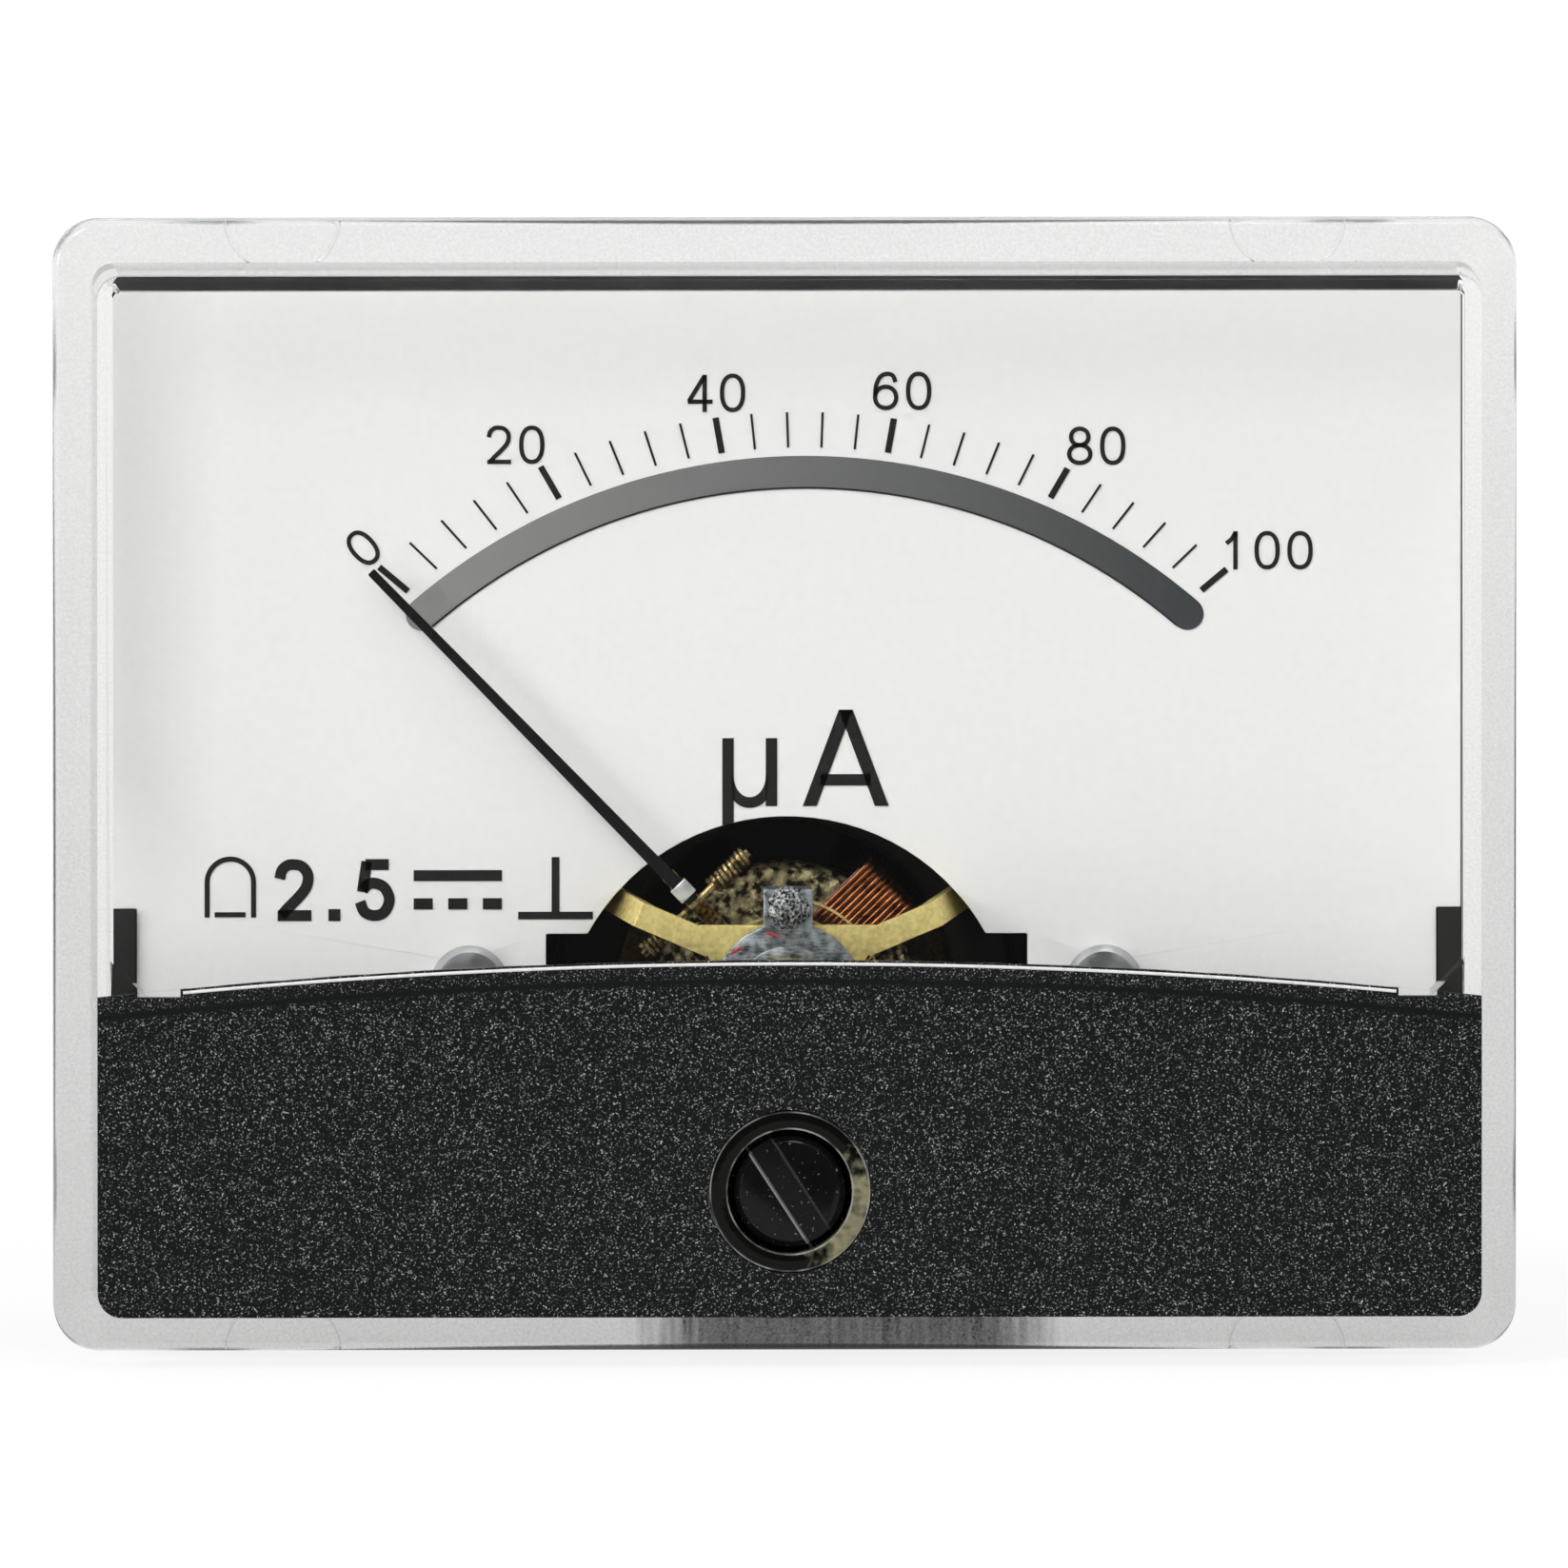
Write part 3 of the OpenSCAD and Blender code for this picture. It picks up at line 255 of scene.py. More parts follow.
world = bpy.data.worlds.new("studio")
scene.world = world
world.use_nodes = True
room = Nodes(world.node_tree)
rays = {kind: room.add("ShaderNodeLightPath", output=f"Is {kind} Ray") for kind in shown_to}
way = room.add("ShaderNodeTexCoord", output="Generated")
depth = room.add("ShaderNodeSeparateXYZ", {}, {0: way}, "Y")
height = room.add("ShaderNodeSeparateXYZ", {}, {0: way}, "Z")
backdrop = room.ramp(depth, -0.3, 0.3, 0.05, 1.0)
overhead = room.ramp(height, 0.35, 0.9, 0.0, 0.5)
mirrored = room.add("ShaderNodeMath", {"operation": "ADD", "use_clamp": True}, {
    0: rays["Glossy"], 1: rays["Transmission"]
})
ambient = 0.43
level = mirrored * (backdrop + overhead) + (1 - mirrored) * ambient
level = rays["Camera"] + (1 - rays["Camera"]) * level
sky = world.node_tree.nodes["Background"]
room.fill(sky.inputs["Strength"], level)
room.fill(sky.inputs["Color"], (1, 1, 1, 1))


def lamp(name, place, size, power):
    """A soft round lamp that faces the meter."""
    light = bpy.data.lights.new(name, "AREA")
    light.shape = "DISK"
    light.size = size
    light.energy = power
    stand = bpy.data.objects.new(name, light)
    stand.location = place
    stand.rotation_euler = (-Vector(place)).to_track_quat("-Z", "Y").to_euler()
    scene.collection.objects.link(stand)


lamp("key", (-0.55, -0.85, 0.75), 0.3, 4.9)
lamp("side", (-0.9, -0.5, 0.15), 0.25, 2.2)
lamp("top", (0.15, -0.35, 1.0), 0.35, 2.0)
lamp("fill", (0.7, -1.0, 0.4), 0.6, 1.4)

# Base.
# Black phenolic moulding: a plate inside the cover, the rim that carries the dial, and the round
# barrel that goes through the panel. Satin from its mould, with a raised sign at the plus terminal.


def mesh_of(name, shape, *finishes):
    """A plain mesh of a shape, which is then done with, and its finishes."""
    mesh = bpy.data.meshes.new(name)
    shape.to_mesh(mesh)
    shape.free()
    for finish in finishes:
        mesh.materials.append(finish.material)
    return mesh


def placed(name, mesh, body, slot, *nodes, corner=35):
    """Fits a mesh to a body, in place of its CAD nodes where it stands for some."""
    mesh.shade_smooth()
    mesh.set_sharp_from_angle(angle=math.radians(corner))
    piece = bpy.data.objects.new(name, mesh)
    scene.collection.objects.link(piece)
    flats = piece.modifiers.new("flat faces", "WEIGHTED_NORMAL")
    flats.weight = 100
    flats.keep_sharp = True
    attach(piece, body)
    if nodes:
        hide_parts(*nodes)


slot_of = {part["node"]: part["material_slot"] for part in frame["record"]["subparts"]}
weld = 2e-6
edge_angle = math.radians(30)


def dressed(node, ease, *finishes, finish_of=None, flat=False):
    """A CAD node's solid with eased edges and its finishes, on the node's own body.

    Its triangles are joined, where flat into whole faces. finish_of gives the place of a face's finish.
    """
    shape = bmesh.new()
    shape.from_mesh(frame["nodes"][node].data)
    bmesh.ops.remove_doubles(shape, verts=shape.verts, dist=weld)
    if flat:
        bmesh.ops.dissolve_limit(shape, angle_limit=math.radians(1), verts=shape.verts, edges=shape.edges)
    sharp = [edge for edge in shape.edges if edge.is_manifold and edge.calc_face_angle(0) > edge_angle]
    bmesh.ops.bevel(
        shape, geom=sharp, offset=ease, offset_type="OFFSET", segments=2, profile=0.5,
        affect="EDGES", clamp_overlap=True, loop_slide=True
    )
    if finish_of:
        for face in shape.faces:
            face.material_index = finish_of(face)
    name = node + "_eased"
    placed(name, mesh_of(name, shape, *finishes), frame["nodes"][node]["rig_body"], slot_of[node], node)


moulded = Finish("moulded phenolic", specular_ior_level=0.35)
moulded.mottled(900, 4, (0.006, 0.006, 0.006, 1), (0.016, 0.016, 0.015, 1), 0.38, 0.55)
moulded.set(normal=moulded.relief(moulded.grain(16000, 3), 0.00001))
dressed("base", 0.0002, moulded)


def slab(shape, outline, front, back):
    """A flat plate between two depths from an outline of (x, z) points."""
    face = shape.faces.new([shape.verts.new((x, front, z)) for x, z in outline])
    thick = bmesh.ops.extrude_face_region(shape, geom=[face])["geom"]
    bmesh.ops.translate(
        shape, verts=[v for v in thick if isinstance(v, bmesh.types.BMVert)], vec=(0, back - front, 0)
    )
    bmesh.ops.recalc_face_normals(shape, faces=shape.faces)


terminal_x = 0.01
barrel_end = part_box("terminal_washers")[0].y
plus_z = -0.0075
plus_arm = 0.0013
plus_w = 0.0005
plus_rise = 0.0003
plus = bmesh.new()
slab(plus, [(terminal_x + u, plus_z + v) for u, v in (
    (plus_w, plus_arm), (-plus_w, plus_arm), (-plus_w, plus_w), (-plus_arm, plus_w), (-plus_arm, -plus_w),
    (-plus_w, -plus_w), (-plus_w, -plus_arm), (plus_w, -plus_arm), (plus_w, -plus_w), (plus_arm, -plus_w),
    (plus_arm, plus_w), (plus_w, plus_w)
)], barrel_end - plus_rise, barrel_end + plus_rise)
placed("plus_sign", mesh_of("plus_sign", plus, moulded), "case", "moulded_black")

# Mounting studs.
# Four zinc-plated steel studs, set into the base from the front by a round root under a flat
# head, each with an M3 thread behind the panel.


class Pattern(Nodes):
    """A geometry tree with named sizes that sets out, follows or repeats a shape."""

    def __init__(self, name, **sizes):
        super().__init__(bpy.data.node_groups.new(name, "GeometryNodeTree"))
        self.sizes = {}
        self.tree.interface.new_socket("Geometry", in_out="INPUT", socket_type="NodeSocketGeometry")
        self.tree.interface.new_socket("Geometry", in_out="OUTPUT", socket_type="NodeSocketGeometry")
        for size, value in sizes.items():
            kind = "NodeSocketInt" if isinstance(value, int) else "NodeSocketFloat"
            socket = self.tree.interface.new_socket(size, in_out="INPUT", socket_type=kind)
            self.sizes[size] = (socket.identifier, value)
        self.given = self.tree.nodes.new("NodeGroupInput")
        self.index = self.add("GeometryNodeInputIndex")

    def __getitem__(self, size):
        return Value(self, self.given.outputs[size])

    def joined(self, *shapes):
        """Several shapes as one."""
        whole = self.add("GeometryNodeJoinGeometry")
        for shape in shapes:
            self.fill(whole.socket.node.inputs[0], shape)
        return whole

    def points(self, count, x, y, z):
        """Loose points, each placed by sums on its index."""
        place = self.add("ShaderNodeCombineXYZ", {}, {"X": x, "Y": y, "Z": z})
        return self.add("GeometryNodePoints", {}, {"Count": count, "Position": place})

    def copies(self, points, shape, **sockets):
        """A shape on each of some points."""
        inputs = {"Points": points, "Instance": shape} | sockets
        return self.add("GeometryNodeInstanceOnPoints", {}, inputs)

    def wire(self, curve, radius, sides):
        """A round wire along a curve."""
        circle = self.add("GeometryNodeCurvePrimitiveCircle", {}, {"Resolution": sides, "Radius": radius})
        inputs = {"Curve": curve, "Profile Curve": circle, "Fill Caps": True}
        return self.add("GeometryNodeCurveToMesh", {}, inputs)

    def mesh(self, name, shape, finish, data=None):
        """Ends the tree, runs it on some data with its sizes, and gives a plain mesh."""
        whole = self.add("GeometryNodeRealizeInstances", {}, {"Geometry": shape})
        coated = self.add("GeometryNodeSetMaterial", {}, {"Geometry": whole, "Material": finish.material})
        end = self.tree.nodes.new("NodeGroupOutput")
        self.tree.links.new(coated.socket, end.inputs[0])
        maker = bpy.data.objects.new(name, data or bpy.data.meshes.new(name))
        scene.collection.objects.link(maker)
        modifier = maker.modifiers.new(name, "NODES")
        modifier.node_group = self.tree
        for size, (identifier, value) in self.sizes.items():
            modifier[identifier] = value
        made = maker.evaluated_get(bpy.context.evaluated_depsgraph_get())
        mesh = bpy.data.meshes.new_from_object(made)
        bpy.data.objects.remove(maker)
        return mesh


def in_rows(name, one, finish, spacing_x, spacing_z=0.0, rows=1, middle_z=0.0):
    """Copies of one shape, two beside each other in each row."""
    rank = Pattern(name + " rows", rows=rows, spacing_x=spacing_x, spacing_z=spacing_z, middle_z=middle_z)
    row = (rank.index / 2).math("FLOOR")
    spots = rank.points(
        rank["rows"] * 2, (rank.index % 2 - 0.5) * rank["spacing_x"], 0.0,
        (row - (rank["rows"] - 1) / 2) * rank["spacing_z"] + rank["middle_z"]
    )
    return rank.mesh(name, rank.copies(spots, rank["Geometry"]), finish, mesh_of(name + " one", one))


def swept(shape, rings, closed=False):
    """Faces between rings of points. The last ring meets the first, or both ends are capped."""
    rows = [[shape.verts.new(spot) for spot in ring] for ring in rings]
    pairs = list(zip(rows, rows[1:]))
    if closed:
        pairs.append((rows[-1], rows[0]))
    else:
        shape.faces.new(rows[0])
        shape.faces.new(reversed(rows[-1]))
    for low, high in pairs:
        for k in range(len(low)):
            after = (k + 1) % len(low)
            shape.faces.new((low[k], high[k], high[after], low[after]))
    bmesh.ops.recalc_face_normals(shape, faces=shape.faces)


def thread(shape, start, end, radius, pitch, depth, sides=36):
    """A threaded rod along Y, closed at both ends, with its first turns tapered."""
    rows_per_turn = 6
    rows = round((end - start) / pitch * rows_per_turn)
    taper = 1.2 * depth
    rings = []
    for row in range(rows + 1):
        y = start + (end - start) * row / rows
        trim = max(0.0, depth * (1 - (end - y) / taper), depth * (1 - (y - start) / taper))
        ring = []
        for side in range(sides):
            turn = 2 * math.pi * side / sides
            phase = (y / pitch - side / sides) % 1
            dip = min(1.0, max(0.0, 3.2 * abs(phase - 0.5) - 0.4))
            r = radius - max(depth * dip, trim)
            ring.append((r * math.cos(turn), y, r * math.sin(turn)))
        rings.append(ring)
    swept(shape, rings)


def turned(shape, profile, sides=48):
    """A closed body of revolution along Y from (radius, y) points that start and end on the axis."""
    rings = []
    for r, y in profile:
        count = sides if r else 1
        turns = [2 * math.pi * k / sides for k in range(count)]
        rings.append([shape.verts.new((r * math.cos(turn), y, r * math.sin(turn))) for turn in turns])
    for low, high in zip(rings, rings[1:]):
        for k in range(sides):
            after = (k + 1) % sides
            corners = [low[k % len(low)], high[k % len(high)]]
            corners += [high[after % len(high)], low[after % len(low)]]
            shape.faces.new(list(dict.fromkeys(corners)))


zinc = Finish("zinc plate", metallic=1.0)
zinc.mottled(1500, 4, (0.34, 0.36, 0.38, 1), (0.56, 0.57, 0.57, 1), 0.28, 0.5)
zinc.set(normal=zinc.relief(zinc.grain(20000, 2), 0.000004))
stud_low, stud_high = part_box("mounting_studs")
head_r = 0.00245
head_ease = 0.0001
head_back = -0.0012
root_r = 0.0019
core_r = 0.0011
core_end = 0.00005
stud_r = 0.0015
stud_spacing = stud_high - stud_low - Vector((2 * head_r, 0, 2 * head_r))
stud = bmesh.new()
turned(stud, [
    (0, stud_low.y), (head_r - head_ease, stud_low.y), (head_r, stud_low.y + head_ease), (head_r, head_back),
    (root_r, head_back), (root_r, 0), (core_r, core_end), (0, core_end)
])
thread(stud, 0, stud_high.y, stud_r, pitch=0.0005, depth=0.00027)
bmesh.ops.recalc_face_normals(stud, faces=stud.faces)
studs = in_rows(
    "threaded_mounting_studs", stud, zinc, stud_spacing.x, stud_spacing.z, 2, (stud_low.z + stud_high.z) / 2
)
placed("threaded_mounting_studs", studs, "case", "zinc_steel", "mounting_studs")

# Terminals.
# Two M4 brass studs through the barrel's floor, each with a flat washer, a tinned solder lug,
# a split lock washer and a chamfered hexagon nut.
brass = Finish("rolled brass", metallic=1.0)
streaks = brass.grain(1.0, 3, brass.stretched(900, 900, 5200))
tarnish = brass.grain(5200, 4)
brass.set(
    base_color=brass.tint(brass.ramp(tarnish, 0.38, 0.66), (1.0, 0.86, 0.36, 1), (0.8, 0.66, 0.27, 1)),
    roughness=brass.ramp(streaks, 0.3, 0.7, 0.46, 0.58),
    normal=brass.relief(streaks, 0.000012)
)
tinned = Finish("tinned sheet", metallic=1.0)
patches = tinned.grain(2600, 5)
scratches = tinned.grain(1.0, 4, tinned.stretched(2500, 2500, 14000))
dulling = tinned.ramp(patches * 0.6 + scratches * 0.4, 0.38, 0.6)
tinned.set(
    base_color=tinned.tint(dulling, (0.09, 0.105, 0.115, 1), (0.42, 0.46, 0.48, 1)),
    roughness=tinned.ramp(patches, 0.3, 0.7, 0.34, 0.58),
    normal=tinned.relief(scratches, 0.00002)
)
terminal_low, terminal_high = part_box("terminal_studs")
terminal_r = 0.002
terminal_head_r = 0.0035
head_chamfer = 0.0003
floor_front = terminal_low.y + 0.0015
shank_r = 0.0019
shank_end = 0.0188
thread_from = 0.0185
terminal = bmesh.new()
thread(terminal, thread_from, terminal_high.y, terminal_r, pitch=0.0007, depth=0.0004)
turned(terminal, [(0, terminal_low.y), (shank_r, terminal_low.y), (shank_r, shank_end), (0, shank_end)])
turned(terminal, [
    (0, terminal_low.y), (terminal_head_r - head_chamfer, terminal_low.y),
    (terminal_head_r, terminal_low.y + head_chamfer), (terminal_head_r, floor_front - head_ease),
    (terminal_head_r - head_ease, floor_front), (0, floor_front)
], sides=6)
bmesh.ops.recalc_face_normals(terminal, faces=terminal.faces)
terminals = in_rows("threaded_terminal_studs", terminal, brass, 2 * terminal_x)
placed("threaded_terminal_studs", terminals, "case", "brass", "terminal_studs")


def hexagon_nut(shape, start, end, across_corners, bore, sides=72):
    """A hexagon nut along Y with both faces chamfered at 30 degrees."""
    flat = across_corners * math.cos(math.pi / 6)
    face = 0.97 * flat
    rings = [[] for _ in range(6)]
    for k in range(sides):
        turn = 2 * math.pi * k / sides
        corner = flat / math.cos((turn + math.pi / 6) % (math.pi / 3) - math.pi / 6)
        drop = (corner - face) / math.sqrt(3)
        stations = [
            (bore, start), (face, start), (corner, start + drop),
            (corner, end - drop), (face, end), (bore, end)
        ]
        for ring, (r, y) in zip(rings, stations):
            ring.append((r * math.cos(turn), y, r * math.sin(turn)))
    swept(shape, rings, closed=True)


nut_low, nut_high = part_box("terminal_nuts")
nut_bore = 0.00205
nut = bmesh.new()
hexagon_nut(nut, nut_low.y, nut_high.y, nut_high.x - terminal_x, nut_bore)
nuts = in_rows("chamfered_terminal_nuts", nut, brass, 2 * terminal_x)
placed("chamfered_terminal_nuts", nuts, "case", "brass", "terminal_nuts", corner=20)
dressed("terminal_washers", 0.0001, zinc)
dressed("solder_lugs", 0.00012, tinned, flat=True)
dressed("lock_washers", 0.00015, zinc)

# Movement frame and magnet.
# A black moulded holder takes the blackened iron yoke ring. The round core magnet with its
# yellow passivated, pitted face is held inside by two moulded spacers.
matt = Finish("matt black moulding", specular_ior_level=0.12, roughness=0.6)
dust = matt.grain(5000, 4)
dusty = matt.ramp(dust, 0.68, 0.76)
matt.set(base_color=matt.tint(dusty, (0.0012, 0.0012, 0.0011, 1), (0.05, 0.05, 0.045, 1)))
dressed("movement_frame", 0.00015, matt)
dressed("frame_screws", 0.0001, zinc)
dressed("core_spacers", 0.0001, matt)
blackened = Finish("blackened iron", specular_ior_level=0.15)
blackened.mottled(2500, 4, (0.001, 0.001, 0.001, 1), (0.005, 0.005, 0.004, 1), 0.45, 0.7)
blackened.set(normal=blackened.relief(blackened.grain(8000, 3), 0.00001))
dressed("yoke_ring", 0.0001, blackened)
magnet = Finish("passivated magnet", metallic=0.8)
pits = magnet.grain(2600, 8)
flecks = magnet.ramp(magnet.grain(5200, 3), 0.6, 0.68)
pitted = magnet.tint(magnet.ramp(pits, 0.41, 0.64), (0.014, 0.011, 0.006, 1), (0.75, 0.66, 0.37, 1))
magnet.set(
    base_color=magnet.tint(flecks * pits, pitted, (1, 0.9, 0.62, 1)),
    roughness=magnet.ramp(pits, 0.35, 0.65, 0.55, 0.34),
    normal=magnet.relief(magnet.grain(2300, 5), 0.00014)
)
dressed("core_magnet", 0.00012, magnet)

# Bridges.
# Stamped brass strips that carry the jewel screws, held to the frame by slotted screws,
# with hexagon locknuts, plain washers and ruby cups for the pivots.
for node in ("front_bridge", "rear_bridge"):
    dressed(node, 0.00008, brass)
for node in ("front_jewel_screw", "rear_jewel_screw", "front_locknut", "rear_locknut"):
    dressed(node, 0.00006, brass)
for node in ("bridge_screws", "rear_bridge_screws"):
    dressed(node, 0.00006, zinc)
dressed("lever_washers", 0.00006, tinned)
ruby = Finish("ruby", transmission_weight=0.6, ior=1.76)
ruby.mottled(6000, 2, (0.45, 0.01, 0.05, 1), (0.62, 0.03, 0.09, 1), 0.03, 0.1)
dressed("bearing_jewels", 0.00003, ruby)

# Leads.
# Two copper wires in red insulation, soldered to the terminals and to the bridges, that hold
# the bends they are given.
sleeve = Finish("wire insulation", specular_ior_level=0.4)
mottle = sleeve.mottled(5000, 3, (0.36, 0.018, 0.015, 1), (0.46, 0.03, 0.024, 1), 0.35, 0.5)
sleeve.set(normal=sleeve.relief(mottle, 0.000015))
lead_r = 0.0004
routes = [
    [(-10, 15.5, 0), (-10, 14.3, 0), (-9, 13.2, -1), (-7.6, 12.6, -2.27), (-6.6, 12.4, -3.87),
     (-6, 12.2, -5.27)],
    [(10, 15.5, 0), (10, 14.3, 0), (12.2, 12.2, 1.8), (13.6, 9, 2.8), (13.7, 4, 3), (13.5, -0.6, 2.4),
     (12.9, -2.8, 1.2), (12.2, -3.3, 0.42)]
]
path = bpy.data.curves.new("lead routes", "CURVE")
path.dimensions = "3D"
for route in routes:
    spline = path.splines.new("BEZIER")
    spline.bezier_points.add(len(route) - 1)
    for bend, spot in zip(spline.bezier_points, route):
        bend.co = Vector(spot) / 1000
        bend.handle_left_type = bend.handle_right_type = "AUTO"
drawn = Pattern("leads", radius=lead_r)
smooth = drawn.add("GeometryNodeResampleCurve", {}, {"Curve": drawn["Geometry"], "Count": 60})
leads = drawn.mesh("insulated_leads", drawn.wire(smooth, drawn["radius"], 16), sleeve, path)
placed("insulated_leads", leads, "case", "lead_cover", "lead_wires")

# Moving coil.
# Thirteen even turns of enamelled copper wire show on an aluminium former, with steel pivots glued
# to its ends. A brass arm carries the balance weights, which are close coils of brass wire.
joint_at = {joint["name"]: Vector(joint["pos_m"]) for joint in frame["joints"]}
pivot = joint_at["pointer_swing"]
pointer_turn = math.radians(134.3)
along_pointer = Matrix.Translation((pivot.x, 0, pivot.z)) @ Matrix.Rotation(-pointer_turn, 4, "Y")
aluminium = Finish("aluminium former", metallic=1.0)
aluminium.mottled(3000, 3, (0.2, 0.12, 0.09, 1), (0.34, 0.22, 0.16, 1), 0.3, 0.42)
dressed("coil_former", 0.00004, aluminium)
copper = Finish("enamelled copper", metallic=1.0)
varnish = copper.grain(2200, 3)
varnished = copper.ramp(varnish, 0.3, 0.72)
copper.set(
    base_color=copper.tint(varnished, (0.12, 0.034, 0.012, 1), (0.44, 0.165, 0.068, 1)),
    roughness=copper.ramp(varnish, 0.3, 0.7, 0.26, 0.4)
)
coil_w = 0.0031
coil_low, coil_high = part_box("coil_winding")
coil_half = (coil_high.x - pivot.x + coil_w / 2 * math.cos(pointer_turn)) / math.sin(pointer_turn)
coil_depth = (coil_high.y - coil_low.y) / 2
coil_middle = (coil_high.y + coil_low.y) / 2
bed_t = 0.00045
bed_under = 0.00014
bend_r = 0.0006


def coil_ring(x, inset, steps=8):
    """A rounded rectangle round the coil at one place along the pointer."""
    half = coil_half - inset
    deep = coil_depth - inset
    r = max(bend_r - inset, 0.0001)
    ring = []
    for corner, (sign_y, sign_z) in enumerate(((1, 1), (-1, 1), (-1, -1), (1, -1))):
        for step in range(steps + 1):
            turn = (corner + step / steps) * math.pi / 2
            y = coil_middle + sign_y * (deep - r) + r * math.cos(turn)
            z = sign_z * (half - r) + r * math.sin(turn)
            ring.append((x, y, z))
    return ring


bed = bmesh.new()
side = coil_w / 2 - bed_under
swept(bed, [
    coil_ring(-side, bed_under), coil_ring(side, bed_under),
    coil_ring(side, bed_under + bed_t), coil_ring(-side, bed_under + bed_t)
], closed=True)
winding = Pattern(
    "coil turns", turns=13, width=coil_w, half=coil_half, depth=coil_depth, wire=0.000117, bend=bend_r
)
loop = winding.add("GeometryNodeCurvePrimitiveQuadrilateral", {}, {
    "Width": (winding["half"] - winding["wire"]) * 2, "Height": (winding["depth"] - winding["wire"]) * 2
})
loop = winding.add("GeometryNodeFilletCurve", {"mode": "POLY"}, {
    "Curve": loop, "Radius": winding["bend"] - winding["wire"], "Count": 8
})
one_turn = winding.add("GeometryNodeTransform", {}, {
    "Geometry": winding.wire(loop, winding["wire"], 10), "Rotation": (0, math.pi / 2, 0)
})
laid = winding.points(
    winding["turns"], ((winding.index + 0.5) / winding["turns"] - 0.5) * winding["width"], coil_middle, 0.0
)
slack = winding.add("FunctionNodeRandomValue", {}, {2: 0.992, 3: 1.0, "Seed": 4}, 1)
whole = winding.joined(winding.copies(laid, one_turn, Scale=slack), winding["Geometry"])
coil = winding.mesh("wound_coil", whole, copper, mesh_of("coil bed", bed))
coil.transform(along_pointer)
placed("wound_coil", coil, "rotor", "copper", "coil_winding", corner=60)
dressed("pivot_staffs", 0.00003, zinc)
aged = Finish("aged brass", metallic=1.0)
stain = aged.grain(4200, 6)
aged.set(
    base_color=aged.tint(aged.ramp(stain, 0.42, 0.66), (0.075, 0.055, 0.026, 1), (0.62, 0.49, 0.24, 1)),
    roughness=aged.ramp(stain, 0.3, 0.7, 0.48, 0.3)
)
for node in ("pointer_arm", "spring_collets"):
    dressed(node, 0.00004, aged)

cross_at = 0.0053475
cross_y = -0.00545
weight_from = 0.001
weight_len = 0.0018
tail_from = 0.0028
tail_len = 0.0016
tail_y = -0.00415
weights = Pattern("balance weights", radius=0.00042, wire=0.00011, turns=8.0, length=weight_len)


def close_coil(radius, wire, turns, length):
    """A close coil of wire along Z."""
    spiral = weights.add("GeometryNodeCurveSpiral", {}, {
        "Resolution": 24, "Rotations": turns, "Start Radius": radius - wire, "End Radius": radius - wire,
        "Height": length
    })
    return weights.wire(spiral, wire, 10)


ends = weights.points(2, cross_at, cross_y, weights.index * (-2 * weight_from - weight_len) + weight_from)
cross_coil = close_coil(weights["radius"], weights["wire"], weights["turns"], weights["length"])
tail_coil = close_coil(weights["radius"] * 1.19, weights["wire"] * 1.27, weights["turns"] * 0.7, tail_len)
tail = weights.add("GeometryNodeTransform", {}, {
    "Geometry": tail_coil, "Translation": (-tail_from - tail_len, tail_y, 0), "Rotation": (0, math.pi / 2, 0)
})
all_weights = weights.joined(weights.copies(ends, cross_coil), tail)
coils = weights.mesh("coiled_balance_weights", all_weights, aged)
coils.transform(along_pointer)
placed("coiled_balance_weights", coils, "rotor", "brass", "balance_weights", corner=60)

# Pointer.
# A drawn aluminium strip in black lacquer. Its root is held to the arm on the coil by a folded
# clip of bright tinned sheet.
lacquer = Finish("pointer lacquer", specular_ior_level=0.15)
lacquer.mottled(3000, 3, (0.003, 0.003, 0.003, 1), (0.009, 0.009, 0.009, 1), 0.35, 0.55)
dressed("pointer", 0.00005, lacquer)
clip_tin = Finish("bright tin", metallic=1.0)
clip_tin.mottled(1800, 3, (0.6, 0.63, 0.62, 1), (0.85, 0.87, 0.86, 1), 0.25, 0.45)
dressed("pointer_clip", 0.00004, clip_tin)

# Hairsprings.
# Flat bronze strip wound in four turns. The inner end is pinned to a collet on the pivot and the
# outer end is soldered, so each point turns with the coil by its share of the strip's length.
spring_turns = 4
spring_steps = 288
spring_t = 0.0001
spring_inner = 0.00097


def hairspring(name, node):
    """A wound strip in place of a CAD spring, blended along its length from the rotor to the case."""
    low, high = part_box(node)
    outer = high.z - pivot.z - spring_t / 2
    spring = bmesh.new()
    rows = []
    for step in range(spring_steps + 1):
        share = step / spring_steps
        r = spring_inner + (outer - spring_inner) * share
        a = math.pi / 2 - 2 * math.pi * spring_turns * (1 - share)
        inside = r - spring_t / 2
        outside = r + spring_t / 2
        corners = [(inside, low.y), (outside, low.y), (outside, high.y), (inside, high.y)]
        rows.append([(pivot.x + c * math.cos(a), y, pivot.z + c * math.sin(a)) for c, y in corners])
    swept(spring, rows)
    mesh = mesh_of(name, spring, brass)
    mesh.shade_smooth()
    mesh.set_sharp_from_angle(angle=math.radians(35))
    piece = bpy.data.objects.new(name, mesh)
    scene.collection.objects.link(piece)
    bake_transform(piece, "rotor", "case", (pivot.x, low.y, pivot.z), (pivot.x, low.y, high.z))
    shares = mesh.attributes["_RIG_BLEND"].data
    for place in range(len(mesh.vertices)):
        shares[place].value = (place // 4) / spring_steps
    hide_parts(node)


hairspring("front_spring", "front_hairspring")
hairspring("rear_spring", "rear_hairspring")

